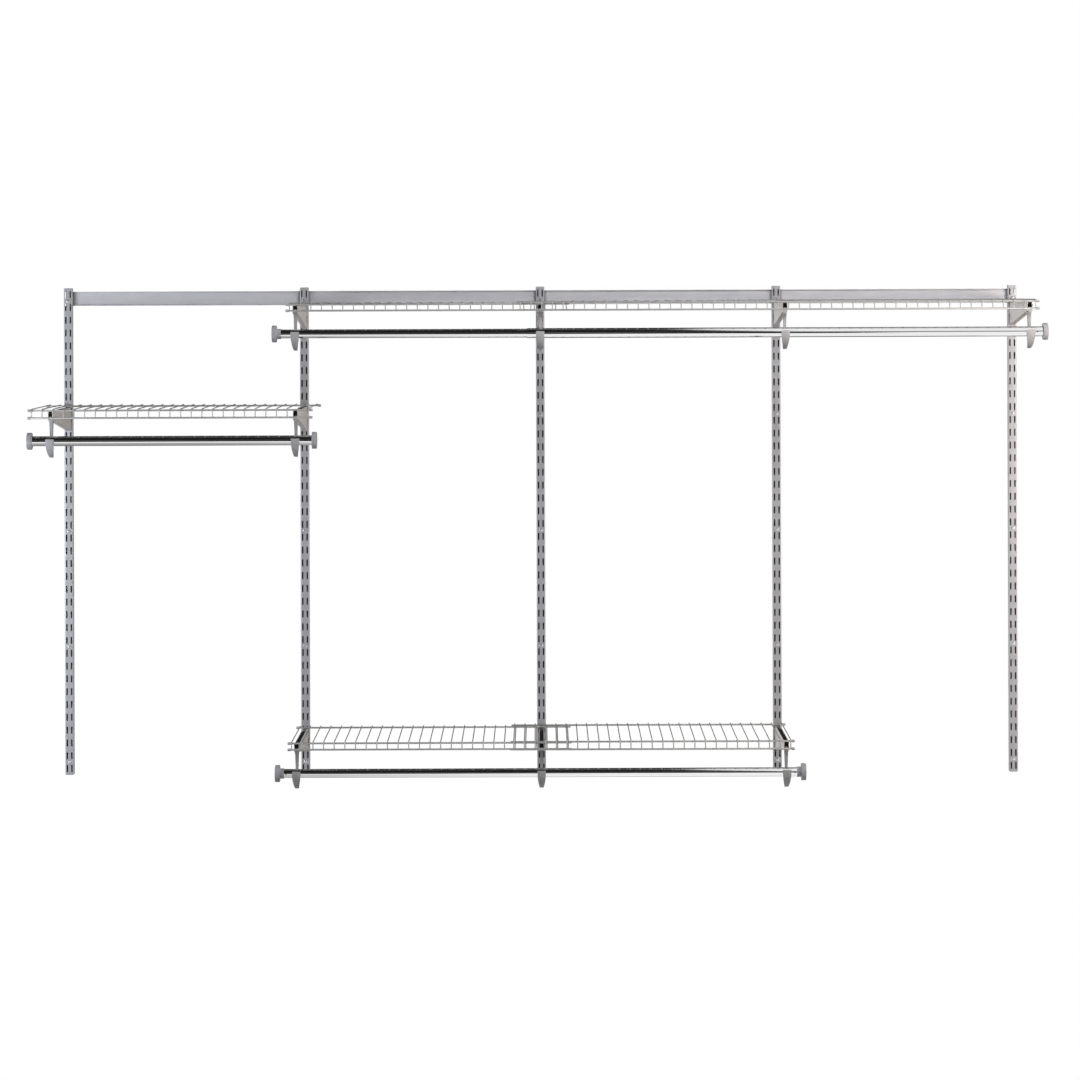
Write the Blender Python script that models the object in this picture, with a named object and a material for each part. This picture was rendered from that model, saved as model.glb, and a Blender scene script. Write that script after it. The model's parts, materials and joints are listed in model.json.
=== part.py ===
"""Wall mounted closet system.

Five slotted uprights hang on a wall rail. Brackets hooked into their slots carry three
wire shelves, and a hook in the nose of each bracket carries a hanging rod. Two shelves
and one rod telescope. Metres, +Z up, +X to the right, and the front faces -Y. The origin
is on the wall, in the middle of the rail's back face.
"""

import math

import bmesh
import bpy

# Clearances and cuts
SEAT_GAP = 0.0003
CUT_OVERRUN = 0.002

# Uprights and their slots
UPRIGHT_COUNT = 5
UPRIGHT_SPACING = 0.585
UPRIGHT_WIDTH = 0.0215
UPRIGHT_DEPTH = 0.016
UPRIGHT_SHEET = 0.0014
UPRIGHT_CORNER = 0.003
BACK_SLIT_CLEARANCE = 0.0004
SLOT_ROWS = 38
SLOT_PITCH = 0.03175
SLOT_HEIGHT = 0.018
SLOT_WIDTH = 0.003
SLOT_PAIR_SPACING = 0.0112

# Rail, a channel whose lips face forward
RAIL_HEIGHT = 0.035
RAIL_SHEET = 0.0016
RAIL_LIP = 0.006
RAIL_DROP = 0.009
RAIL_END_PAST = 0.007
RAIL_SEAM_OFFSET = 0.008

# Wall screws
SCREW_HEAD_DIAMETER = 0.0078
SCREW_HEAD_HEIGHT = 0.0026
SCREW_SHANK_DIAMETER = 0.0042
SCREW_FLAT_SHARE = 0.6
SCREW_SIDES = 10

# Wire of the shelves. The pitch is nominal: each section's wires are spread evenly between its ends.
WIRE_PITCH = 0.0254
CROSS_WIRE = 0.0028
LONG_WIRE = 0.0044
LONG_WIRE_SIDES = 8
FRONT_WIRE_GAP = 0.0003
FOOT_WELD_DEPTH = 0.0006
WIRE_STUB = 0.003
WIRE_END = 0.008
# Corners of a cross wire's section, across it and out of the shelf, in shares of its thickness
CROSS_SECTION_SHARES = ((-0.5, 0), (-0.25, 0.5), (0.25, 0.5), (0.5, 0), (0.25, -0.5), (-0.25, -0.5))
LIP_HEIGHT = 0.0246
SHELF_REACH = 0.306
SHELF_BACK_CLEARANCE = 0.0012

# Brackets
BRACKET_SHEET = 0.0015
BRACKET_REAR_DROP = 0.066
BRACKET_NOSE_DROP = 0.0285
FLOOR_END_BACK = 0.034
TAB_HEIGHT = 0.01
TAB_LIP_DROP = 0.004
TAB_LIP_THICKNESS = 0.003
DECK_ABOVE_SLOT = 0.014

# Bracket liners
LINER_BACK_END = 0.065
LINER_DEPTH = 0.006
LINER_BLOCK_LENGTH = 0.032

# Rod hooks. The eave and the nibs of the head are measured up from the nose's lower edge.
HOOK_HEAD_BACK = 0.006
HOOK_HEAD_FRONT_GAP = 0.0015
HOOK_HEAD_ROOT = 0.002
HOOK_EAVE_HEIGHT = 0.0065
HOOK_ROOF_RISE = 0.004
HOOK_NIB = 0.0034
HOOK_NIB_HEIGHT = 0.0037
HOOK_STEM_DEPTH = 0.0125
HOOK_STEM_WIDTH = 0.0084
HOOK_FRONT_WIDTH = 0.0218
HOOK_RIM = 0.0035
HOOK_RIM_RISE = 0.005
HOOK_KEEL_DROP = 0.0405
HOOK_ARC_STEPS = 8
HOOK_KEEL_STEPS = 7
# Places of the plan's widest points, from the stem's back (0) to the rim's front (1)
HOOK_PLAN_SHARES = ((0.0, 0.0), (0.3, 0.1), (0.63, 0.4), (0.9, 0.82), (1.0, 1.0))

# Rods and their end caps
ROD_DIAMETER = 0.0238
ROD_WALL = 0.0009
ROD_SLIDE_GAP = 0.0004
ROD_PAST_NOSE = 0.0052
ROD_DROP = 0.0777
ROD_HOLE = 0.0035
ROD_HOLE_INSET = 0.0112
CAP_HOLE_INSET = 0.0152
ROD_SIDES = 20
CAP_DIAMETER = 0.0405
CAP_LENGTH = 0.0112
CAP_SOCKET_DEPTH = 0.0075
CAP_NECK_LENGTH = 0.0102
CAP_NECK_WALL = 0.0013
CAP_EDGE = 0.0015
CAP_SIDES = 20

# How far each shelf section runs past the first and the last upright that carry it
LEFT_SHELF_PAST_FIRST = 0.0515
LEFT_SHELF_PAST_LAST = 0.0399
TOP_INNER_PAST_FIRST = 0.0208
TOP_INNER_PAST_LAST = 0.0706
TOP_OUTER_PAST_FIRST = 0.0554
TOP_OUTER_PAST_LAST = 0.0194
LOWER_INNER_PAST_FIRST = 0.0195
LOWER_INNER_PAST_LAST = 0.0719
LOWER_OUTER_PAST_FIRST = 0.0743
LOWER_OUTER_PAST_LAST = 0.0171

# How far each rod runs past them with its caps, and where the top rod's two tubes overlap
LEFT_ROD_PAST_FIRST = 0.055
LEFT_ROD_PAST_LAST = 0.051
LOWER_ROD_PAST_FIRST = 0.051
LOWER_ROD_PAST_LAST = 0.0456
TOP_ROD_PAST_FIRST = 0.055
TOP_ROD_PAST_LAST = 0.041
TOP_ROD_STEP_PAST_MIDDLE = 0.031
TOP_ROD_OVERLAP = 0.142

# Slot row, counted from 0 at the top, that holds the upper tabs of each shelf's brackets
SHELF_ROWS = {"left": 9, "top": 1, "lower": 34}
# Uprights, counted from 1 at the left, that carry each shelf's outer and inner section
OUTER_UPRIGHTS = {"left": (1, 2), "top": (3, 4, 5), "lower": (3, 4)}
INNER_UPRIGHTS = {"left": (), "top": (2, 3), "lower": (2, 3)}

# Levels and distances that follow from the sizes above
UPRIGHT_LENGTH = SLOT_ROWS * SLOT_PITCH
UPRIGHT_TOP = RAIL_HEIGHT / 2 + RAIL_DROP
SCREW_DROP = SLOT_PITCH
SHELF_STACK = CROSS_WIRE + LONG_WIRE
SHELF_BACK_GAP = SEAT_GAP + SCREW_HEAD_HEIGHT + SHELF_BACK_CLEARANCE
LIP_PROUD = (LONG_WIRE - CROSS_WIRE) / 2
INNER_SHELF_DROP = CROSS_WIRE + SEAT_GAP
LIP_DEPTH = LIP_PROUD + CROSS_WIRE + FRONT_WIRE_GAP + LONG_WIRE
INNER_SHELF_REACH = SHELF_REACH - LIP_DEPTH - SEAT_GAP
INNER_SHELF_BACK_GAP = SHELF_BACK_GAP + WIRE_STUB + LONG_WIRE + SEAT_GAP
NOSE_REACH = INNER_SHELF_REACH - LIP_DEPTH - SEAT_GAP
CHANNEL_WIDTH = SLOT_PAIR_SPACING + BRACKET_SHEET
CHANNEL_INSIDE = SLOT_PAIR_SPACING - BRACKET_SHEET
INSERT_WIDTH = CHANNEL_INSIDE - 2 * SEAT_GAP
EAVE_DROP = BRACKET_NOSE_DROP - HOOK_EAVE_HEIGHT
NIB_DROP = BRACKET_NOSE_DROP - HOOK_NIB_HEIGHT
ROD_RADIUS = ROD_DIAMETER / 2
ROD_REACH = NOSE_REACH + ROD_PAST_NOSE
INNER_ROD_DIAMETER = ROD_DIAMETER - 2 * ROD_WALL - 2 * ROD_SLIDE_GAP
CRADLE_RADIUS = ROD_RADIUS + SEAT_GAP
STEM_FRONT = ROD_REACH - CRADLE_RADIUS
STEM_BACK = STEM_FRONT - HOOK_STEM_DEPTH

SMOOTH_ANGLE = math.radians(40)


def material(name, colour, roughness, metallic):
    """A plain finish for one kind of piece."""
    finish = bpy.data.materials.new(name)
    finish.use_nodes = True
    shader = finish.node_tree.nodes["Principled BSDF"]
    shader.inputs["Base Color"].default_value = (*colour, 1)
    shader.inputs["Roughness"].default_value = roughness
    shader.inputs["Metallic"].default_value = metallic
    return finish


def mesh_from(name, bm):
    """Finished mesh of a bmesh, with its faces pointing out."""
    bmesh.ops.recalc_face_normals(bm, faces=bm.faces)
    mesh = bpy.data.meshes.new(name)
    bm.to_mesh(mesh)
    bm.free()
    return mesh


def prism(outline, axis, start, end):
    """Outline pushed along an axis. It is (y, z) along X, (x, z) along Y and (x, y) along Z."""
    place = {
        "X": lambda a, b, along: (along, a, b),
        "Y": lambda a, b, along: (a, along, b),
        "Z": lambda a, b, along: (a, b, along),
    }[axis]
    bm = bmesh.new()
    first = [bm.verts.new(place(a, b, start)) for a, b in outline]
    last = [bm.verts.new(place(a, b, end)) for a, b in outline]
    bm.faces.new(first)
    bm.faces.new(reversed(last))
    for index in range(len(outline)):
        after = (index + 1) % len(outline)
        bm.faces.new((first[after], first[index], last[index], last[after]))
    return mesh_from("prism", bm)


def box(low, high):
    """Box between two corners."""
    outline = [(low[0], low[1]), (high[0], low[1]), (high[0], high[1]), (low[0], high[1])]
    return prism(outline, "Z", low[2], high[2])


def lofted(rings):
    """Closed solid through rings of as many points each, with flat ends."""
    bm = bmesh.new()
    loops = [[bm.verts.new(point) for point in ring] for ring in rings]
    for near, far in zip(loops, loops[1:]):
        for index in range(len(near)):
            after = (index + 1) % len(near)
            bm.faces.new((near[index], near[after], far[after], far[index]))
    bm.faces.new(loops[0])
    bm.faces.new(reversed(loops[-1]))
    return mesh_from("lofted", bm)


def turned(profile, sides, axis, ring=False):
    """Profile of (along, radius) points turned about an axis. A ring joins its last point to its first."""
    place = {
        "X": lambda along, a, b: (along, a, b),
        "Y": lambda along, a, b: (a, along, b),
    }[axis]
    bm = bmesh.new()
    loops = []
    for along, radius in profile:
        steps = sides if radius > 0 else 1
        angles = [math.tau * step / sides for step in range(steps)]
        points = [place(along, radius * math.cos(t), radius * math.sin(t)) for t in angles]
        loops.append([bm.verts.new(point) for point in points])
    pairs = list(zip(loops, loops[1:]))
    if ring:
        pairs.append((loops[-1], loops[0]))
    for near, far in pairs:
        for step in range(sides):
            after = (step + 1) % sides
            corners = [near[step % len(near)], near[after % len(near)]]
            corners += [far[after % len(far)], far[step % len(far)]]
            bm.faces.new(list(dict.fromkeys(corners)))
    return mesh_from("turned", bm)


def gathered(meshes):
    """One mesh that holds several separate ones."""
    bm = bmesh.new()
    for mesh in meshes:
        bm.from_mesh(mesh)
    return mesh_from("gathered", bm)


def combined(base, tool, operation):
    """Base with the tool cut out of it, joined on to it or kept in common with it."""
    holder = bpy.data.objects.new("holder", base)
    guide = bpy.data.objects.new("guide", tool)
    for item in (holder, guide):
        bpy.context.scene.collection.objects.link(item)
    step = holder.modifiers.new("combine", "BOOLEAN")
    step.object = guide
    step.operation = operation
    step.solver = "EXACT"
    depsgraph = bpy.context.evaluated_depsgraph_get()
    result = bpy.data.meshes.new_from_object(holder.evaluated_get(depsgraph))
    for item in (holder, guide):
        bpy.data.objects.remove(item)
    return result


def rounded(mesh):
    """Smooth shading that keeps the sharp edges."""
    mesh.shade_smooth()
    mesh.set_sharp_from_angle(angle=SMOOTH_ANGLE)
    return mesh


def place(name, mesh, finish, location, parent=None):
    """One named piece of the object."""
    piece = bpy.data.objects.new(name, mesh)
    mesh.materials.clear()
    mesh.materials.append(finish)
    bpy.context.scene.collection.objects.link(piece)
    if parent is not None:
        piece.parent = parent
    piece.location = location
    return piece


def slider(name, location):
    """Empty on the axis along which a telescoping piece slides."""
    empty = bpy.data.objects.new(name, None)
    bpy.context.scene.collection.objects.link(empty)
    empty.location = location
    return empty


def upright_x(number):
    """Middle of an upright, counted from 1 at the left."""
    return (number - (UPRIGHT_COUNT + 1) / 2) * UPRIGHT_SPACING


def span(uprights, past_first, past_last):
    """Left and right end of a piece that runs past the first and the last upright that carry it."""
    return upright_x(uprights[0]) - past_first, upright_x(uprights[-1]) + past_last


def carriers(shelf):
    """Uprights that carry a shelf or its rod, from left to right."""
    return sorted({*OUTER_UPRIGHTS[shelf], *INNER_UPRIGHTS[shelf]})


def row_z(row):
    """Middle of a slot row, counted from 0 at the top."""
    return UPRIGHT_TOP - (row + 1 / 2) * SLOT_PITCH


def deck_z(shelf):
    """Top of a shelf's outer section."""
    return row_z(SHELF_ROWS[shelf]) + DECK_ABOVE_SLOT


def upright_mesh():
    """Channel whose back edges are folded in, with twin slots, a notch for the rail and a screw hole."""
    half = UPRIGHT_WIDTH / 2
    inside = half - UPRIGHT_SHEET
    front = -UPRIGHT_DEPTH
    web_back = front + UPRIGHT_SHEET
    corner = UPRIGHT_CORNER
    bottom = UPRIGHT_TOP - UPRIGHT_LENGTH
    face = [
        (-half, bottom + corner), (-half + corner, bottom),
        (half - corner, bottom), (half, bottom + corner),
        (half, UPRIGHT_TOP - corner), (half - corner, UPRIGHT_TOP),
        (-half + corner, UPRIGHT_TOP), (-half, UPRIGHT_TOP - corner),
    ]
    channel = prism(face, "Y", front, 0)
    below, above = bottom - CUT_OVERRUN, UPRIGHT_TOP + CUT_OVERRUN
    hollow = box((-inside, web_back, below), (inside, -UPRIGHT_SHEET, above))
    channel = combined(channel, hollow, "DIFFERENCE")
    slit_half = SCREW_SHANK_DIAMETER / 2 + BACK_SLIT_CLEARANCE
    slit = box((-slit_half, -UPRIGHT_DEPTH / 2, below), (slit_half, CUT_OVERRUN, above))
    channel = combined(channel, slit, "DIFFERENCE")
    notch_half = RAIL_HEIGHT / 2 + SEAT_GAP
    notch_front = -RAIL_LIP - SEAT_GAP
    past = half + CUT_OVERRUN
    notch = box((-past, notch_front, -notch_half), (past, CUT_OVERRUN, notch_half))
    channel = combined(channel, notch, "DIFFERENCE")
    cutters = []
    for row in range(SLOT_ROWS):
        low, high = row_z(row) - SLOT_HEIGHT / 2, row_z(row) + SLOT_HEIGHT / 2
        for side in (-1, 1):
            middle = side * SLOT_PAIR_SPACING / 2
            left, right = middle - SLOT_WIDTH / 2, middle + SLOT_WIDTH / 2
            cutters.append(box((left, front - CUT_OVERRUN, low), (right, web_back + CUT_OVERRUN, high)))
    cutters.append(screw_cutter(front - CUT_OVERRUN, web_back + CUT_OVERRUN, 0, UPRIGHT_TOP - SCREW_DROP))
    return combined(channel, gathered(cutters), "DIFFERENCE")


def screw_cutter(start, end, x, z):
    """Round cutter for a screw's clearance hole."""
    radius = SCREW_SHANK_DIAMETER / 2 + SEAT_GAP
    cutter = turned([(start, 0), (start, radius), (end, radius), (end, 0)], SCREW_SIDES, "Y")
    for vertex in cutter.vertices:
        vertex.co.x += x
        vertex.co.z += z
    return cutter


def rail_mesh(left, right):
    """Length of rail, with a screw hole behind each upright that it passes."""
    half = RAIL_HEIGHT / 2
    sheet = RAIL_SHEET
    outline = [
        (0, -half), (-RAIL_LIP, -half), (-RAIL_LIP, -half + sheet), (-sheet, -half + sheet),
        (-sheet, half - sheet), (-RAIL_LIP, half - sheet), (-RAIL_LIP, half), (0, half),
    ]
    rail = prism(outline, "X", left, right)
    spots = [upright_x(number) for number in range(1, UPRIGHT_COUNT + 1)]
    start, end = -sheet - CUT_OVERRUN, CUT_OVERRUN
    holes = [screw_cutter(start, end, x, UPRIGHT_TOP - SCREW_DROP) for x in spots if left < x < right]
    return combined(rail, gathered(holes), "DIFFERENCE")


def screw_mesh():
    """Pan head screw, cut off where it enters the wall. Its head's seat is at the origin."""
    head, shank = SCREW_HEAD_DIAMETER / 2, SCREW_SHANK_DIAMETER / 2
    profile = [
        (-SCREW_HEAD_HEIGHT, 0), (-SCREW_HEAD_HEIGHT, head * SCREW_FLAT_SHARE),
        (-SCREW_HEAD_HEIGHT / 2, head), (0, head), (0, shank),
        (UPRIGHT_DEPTH + SEAT_GAP, shank), (UPRIGHT_DEPTH + SEAT_GAP, 0),
    ]
    return rounded(turned(profile, SCREW_SIDES, "Y"))


def long_wire_mesh(length, y, z):
    """Straight wire along X whose middle is at a height and a depth, with flats above, below and beside."""
    radius = LONG_WIRE / 2 / math.cos(math.pi / LONG_WIRE_SIDES)
    angles = [math.tau * (side + 1 / 2) / LONG_WIRE_SIDES for side in range(LONG_WIRE_SIDES)]
    section = [(y + radius * math.sin(angle), z + radius * math.cos(angle)) for angle in angles]
    return prism(section, "X", 0, length)


def cross_wire_mesh(middle, back, front, top, foot):
    """Wire that runs forward under a height, bends down at the front and ends at its foot."""
    half = CROSS_WIRE / 2
    section = [(across * CROSS_WIRE, out * CROSS_WIRE) for across, out in CROSS_SECTION_SHARES]
    return lofted([
        [(middle + across, back, top - half + out) for across, out in section],
        [(middle + across, front + half - out, top - half + out) for across, out in section],
        [(middle + across, front + half - out, foot) for across, out in section],
    ])


def shelf_mesh(length, inner):
    """Wire shelf with a front lip. The inner section nests under the outer one, with its lip's foot level."""
    top = -INNER_SHELF_DROP if inner else 0
    front = -INNER_SHELF_REACH if inner else -SHELF_REACH
    back = -INNER_SHELF_BACK_GAP if inner else -SHELF_BACK_GAP
    spaces = round((length - 2 * WIRE_END) / WIRE_PITCH)
    pitch = (length - 2 * WIRE_END) / spaces
    radius = LONG_WIRE / 2
    under = top - CROSS_WIRE - radius
    lip_back = front + LIP_PROUD + CROSS_WIRE
    lip_foot = -LIP_HEIGHT + LONG_WIRE
    long_wires = [
        long_wire_mesh(length, back - WIRE_STUB - radius, under),
        long_wire_mesh(length, lip_back + FRONT_WIRE_GAP + radius, under),
        long_wire_mesh(length, front + radius, lip_foot - radius),
    ]
    cross_wires = []
    for number in range(spaces + 1):
        middle = WIRE_END + number * pitch
        cross_wires.append(cross_wire_mesh(middle, back, front + LIP_PROUD, top, lip_foot - FOOT_WELD_DEPTH))
    return combined(gathered(long_wires), gathered(cross_wires), "UNION")


def slope_z(reach):
    """Height of a bracket's lower edge at a distance from the upright's face."""
    run = (reach - SEAT_GAP) / (NOSE_REACH - SEAT_GAP)
    return -BRACKET_REAR_DROP + run * (BRACKET_REAR_DROP - BRACKET_NOSE_DROP)


def bracket_top(outer_only):
    """Height of a bracket's top edge, just under the wires that it carries."""
    level = -SHELF_STACK - SEAT_GAP
    return level if outer_only else level - INNER_SHELF_DROP


def tab_outline(slot_middle):
    """Corner points, going up, of a tab that enters a slot and drops behind the web."""
    bottom = slot_middle - SLOT_HEIGHT / 2 + SEAT_GAP
    top = bottom + TAB_HEIGHT
    catch = UPRIGHT_SHEET + SEAT_GAP
    end = catch + TAB_LIP_THICKNESS
    return [
        (-SEAT_GAP, bottom), (catch, bottom), (catch, bottom - TAB_LIP_DROP),
        (end, bottom - TAB_LIP_DROP), (end, top), (-SEAT_GAP, top),
    ]


def bracket_mesh(outer_only):
    """Folded channel with two pairs of tabs, open at the top and under its nose."""
    top = bracket_top(outer_only)
    nose = -NOSE_REACH
    outline = [(-SEAT_GAP, top), (nose, top), (nose, -BRACKET_NOSE_DROP), (-SEAT_GAP, -BRACKET_REAR_DROP)]
    for row in (1, 0):
        outline += tab_outline(-DECK_ABOVE_SLOT - row * SLOT_PITCH)
    half, inside = CHANNEL_WIDTH / 2, CHANNEL_INSIDE / 2
    channel = prism(outline, "X", -half, half)
    floor_end = NOSE_REACH - FLOOR_END_BACK
    behind = UPRIGHT_SHEET + SEAT_GAP + TAB_LIP_THICKNESS + CUT_OVERRUN
    below = -BRACKET_REAR_DROP - CUT_OVERRUN
    hollow_outline = [
        (behind, top + CUT_OVERRUN), (nose - CUT_OVERRUN, top + CUT_OVERRUN),
        (nose - CUT_OVERRUN, below), (-floor_end, below),
        (-floor_end, slope_z(floor_end) + BRACKET_SHEET), (behind, slope_z(-behind) + BRACKET_SHEET),
    ]
    hollow = prism(hollow_outline, "X", -inside, inside)
    channel = combined(channel, hollow, "DIFFERENCE")
    middle, size = -head_middle(), HOOK_NIB / 2 + SEAT_GAP
    past = half + CUT_OVERRUN
    low = (-past, middle - size, -NIB_DROP - size)
    high = (past, middle + size, -NIB_DROP + size)
    return combined(channel, box(low, high), "DIFFERENCE")


def liner_mesh(outer_only):
    """Plastic insert between the bracket's sheets, with a notched block in the nose."""
    top = bracket_top(outer_only) - SEAT_GAP
    eave = -EAVE_DROP + 2 * SEAT_GAP
    block = -NOSE_REACH + LINER_BLOCK_LENGTH
    outline = [
        (-LINER_BACK_END, top), (-NOSE_REACH, top), (-NOSE_REACH, eave), (block, eave),
        (block, top - LINER_DEPTH), (-LINER_BACK_END, top - LINER_DEPTH),
    ]
    half = INSERT_WIDTH / 2
    liner = prism(outline, "X", -half, half)
    spread = 1 + CUT_OVERRUN / half
    foot = eave + HOOK_ROOF_RISE * (1 - spread)
    wedge = [(-half * spread, foot), (half * spread, foot), (0, eave + HOOK_ROOF_RISE)]
    cutter = prism(wedge, "Y", -NOSE_REACH - CUT_OVERRUN, block + CUT_OVERRUN)
    return combined(liner, cutter, "DIFFERENCE")


def head_back():
    """Distance from the upright's face to the back of a rod hook's head."""
    return STEM_BACK - HOOK_HEAD_BACK


def head_front():
    """Distance from the upright's face to the front of a rod hook's head."""
    return NOSE_REACH - HOOK_HEAD_FRONT_GAP


def head_middle():
    """Distance from the upright's face to the nibs of a rod hook's head."""
    return (head_back() + head_front()) / 2


def hook_side_outline():
    """Side view of a rod hook below the bracket, as (y, z): stem, cradle and keel."""
    rod_y, rod_z = -ROD_REACH, -ROD_DROP
    back, rim_front = -STEM_BACK, rod_y - CRADLE_RADIUS - HOOK_RIM
    stem_top = slope_z(STEM_BACK) - SEAT_GAP
    rim_top = rod_z + HOOK_RIM_RISE
    outline = [(back, stem_top)]
    for step in range(HOOK_KEEL_STEPS + 1):
        angle = math.pi / 2 * (1 - step / HOOK_KEEL_STEPS)
        y = back + (rim_front - back) * math.cos(angle)
        z = rim_top - (HOOK_KEEL_DROP + HOOK_RIM_RISE) * math.sin(angle)
        outline.append((y, z))
    outline.append((rod_y - CRADLE_RADIUS, rim_top))
    for step in range(HOOK_ARC_STEPS + 1):
        angle = math.pi * (1 + step / HOOK_ARC_STEPS)
        outline.append((rod_y + CRADLE_RADIUS * math.cos(angle), rod_z + CRADLE_RADIUS * math.sin(angle)))
    outline.append((-STEM_FRONT, stem_top))
    return outline


def hook_plan_outline():
    """Plan of a rod hook, narrow at its stem and widest at its rim, as (x, y)."""
    back, front = -STEM_BACK, -ROD_REACH - CRADLE_RADIUS - HOOK_RIM
    left, right = [], []
    for place_share, width_share in HOOK_PLAN_SHARES:
        half = (HOOK_STEM_WIDTH + (HOOK_FRONT_WIDTH - HOOK_STEM_WIDTH) * width_share) / 2
        y = back + (front - back) * place_share
        left.append((-half, y))
        right.append((half, y))
    left[0] = (left[0][0], back + CUT_OVERRUN)
    right[0] = (right[0][0], back + CUT_OVERRUN)
    left[-1] = (left[-1][0], front - CUT_OVERRUN)
    right[-1] = (right[-1][0], front - CUT_OVERRUN)
    return left + right[::-1]


def hook_mesh():
    """Rod hook: a peaked head with two nibs, held between the bracket's sheets, over a stem and cradle."""
    stem_top = slope_z(STEM_BACK) - SEAT_GAP
    lowest = -ROD_DROP - HOOK_KEEL_DROP - CUT_OVERRUN
    side = prism(hook_side_outline(), "X", -HOOK_FRONT_WIDTH, HOOK_FRONT_WIDTH)
    plan = prism(hook_plan_outline(), "Z", lowest, stem_top + CUT_OVERRUN)
    body = combined(side, plan, "INTERSECT")
    half = INSERT_WIDTH / 2
    eave, root = -EAVE_DROP, stem_top - HOOK_HEAD_ROOT
    roof = [(-half, root), (half, root), (half, eave), (0, eave + HOOK_ROOF_RISE), (-half, eave)]
    head = prism(roof, "Y", -head_front(), -head_back())
    reach, nib = CHANNEL_WIDTH / 2, HOOK_NIB / 2
    middle = -head_middle()
    nibs = box((-reach, middle - nib, -NIB_DROP - nib), (reach, middle + nib, -NIB_DROP + nib))
    return combined(combined(body, head, "UNION"), nibs, "UNION")


def tube_mesh(diameter, length, hole_places):
    """Tube along X from the origin, with small holes in its front."""
    outer, bore = diameter / 2, diameter / 2 - ROD_WALL
    profile = [(0, bore), (0, outer), (length, outer), (length, bore)]
    tube = turned(profile, ROD_SIDES, "X", ring=True)
    size = ROD_HOLE / 2
    for along in hole_places:
        low = (along - size, -outer - CUT_OVERRUN, -size)
        high = (along + size, 0, size)
        tube = combined(tube, box(low, high), "DIFFERENCE")
    return rounded(tube)


def cap_mesh(rod_diameter, neck_length, side):
    """End cap with a socket for the rod, and a neck if it has a length. Its outer face is at the origin."""
    outer, socket = CAP_DIAMETER / 2, rod_diameter / 2 + SEAT_GAP
    neck, neck_end = socket + CAP_NECK_WALL, CAP_LENGTH + neck_length
    profile = [(0, 0), (0, outer - CAP_EDGE), (CAP_EDGE, outer), (CAP_LENGTH, outer)]
    if neck_length > 0:
        profile += [(CAP_LENGTH, neck), (neck_end, neck)]
    profile += [
        (neck_end, socket), (CAP_LENGTH - CAP_SOCKET_DEPTH, socket), (CAP_LENGTH - CAP_SOCKET_DEPTH, 0),
    ]
    return rounded(turned([(-side * along, radius) for along, radius in profile], CAP_SIDES, "X"))


for item in list(bpy.data.objects):
    bpy.data.objects.remove(item)

upright_steel = material("upright_steel", (0.42, 0.42, 0.46), 0.38, 0.75)
rail_steel = material("rail_steel", (0.44, 0.44, 0.47), 0.4, 0.75)
bracket_steel = material("bracket_steel", (0.5, 0.48, 0.42), 0.42, 0.7)
shelf_wire = material("shelf_wire", (0.55, 0.55, 0.53), 0.35, 0.8)
rod_chrome = material("rod_chrome", (0.8, 0.8, 0.8), 0.08, 1)
hook_plastic = material("hook_plastic", (0.3, 0.3, 0.31), 0.5, 0)
cap_plastic = material("cap_plastic", (0.34, 0.34, 0.36), 0.45, 0)
liner_plastic = material("liner_plastic", (0.02, 0.02, 0.02), 0.55, 0)
screw_steel = material("screw_steel", (0.6, 0.6, 0.62), 0.3, 0.9)

# Rail, uprights and the screws that hold both to the wall
rail_end = (UPRIGHT_COUNT - 1) / 2 * UPRIGHT_SPACING + RAIL_END_PAST
seam_left = RAIL_SEAM_OFFSET - SEAT_GAP / 2
seam_right = RAIL_SEAM_OFFSET + SEAT_GAP / 2
place("rail_left", rail_mesh(-rail_end, seam_left), rail_steel, (0, 0, 0))
place("rail_right", rail_mesh(seam_right, rail_end), rail_steel, (0, 0, 0))
upright = upright_mesh()
screw = screw_mesh()
for number in range(1, UPRIGHT_COUNT + 1):
    x = upright_x(number)
    place(f"upright_{number}", upright, upright_steel, (x, 0, 0))
    seat = (x, -UPRIGHT_DEPTH - SEAT_GAP, UPRIGHT_TOP - SCREW_DROP)
    place(f"wall_screw_{number}", screw, screw_steel, seat)

# Brackets with their liners and rod hooks
brackets = {outer_only: bracket_mesh(outer_only) for outer_only in (True, False)}
liners = {outer_only: liner_mesh(outer_only) for outer_only in (True, False)}
hook = hook_mesh()
for shelf in SHELF_ROWS:
    for number in carriers(shelf):
        outer_only = number not in INNER_UPRIGHTS[shelf]
        spot = (upright_x(number), -UPRIGHT_DEPTH, deck_z(shelf))
        place(f"bracket_{shelf}_{number}", brackets[outer_only], bracket_steel, spot)
        place(f"liner_{shelf}_{number}", liners[outer_only], liner_plastic, spot)
        place(f"rod_hook_{shelf}_{number}", hook, hook_plastic, spot)

# Outer shelf sections, which are fixed
outer_sections = {
    "left": ("shelf_left", LEFT_SHELF_PAST_FIRST, LEFT_SHELF_PAST_LAST),
    "top": ("shelf_top_outer", TOP_OUTER_PAST_FIRST, TOP_OUTER_PAST_LAST),
    "lower": ("shelf_lower_outer", LOWER_OUTER_PAST_FIRST, LOWER_OUTER_PAST_LAST),
}
for shelf, (name, past_first, past_last) in outer_sections.items():
    left, right = span(OUTER_UPRIGHTS[shelf], past_first, past_last)
    place(name, shelf_mesh(right - left, False), shelf_wire, (left, -UPRIGHT_DEPTH, deck_z(shelf)))

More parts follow.
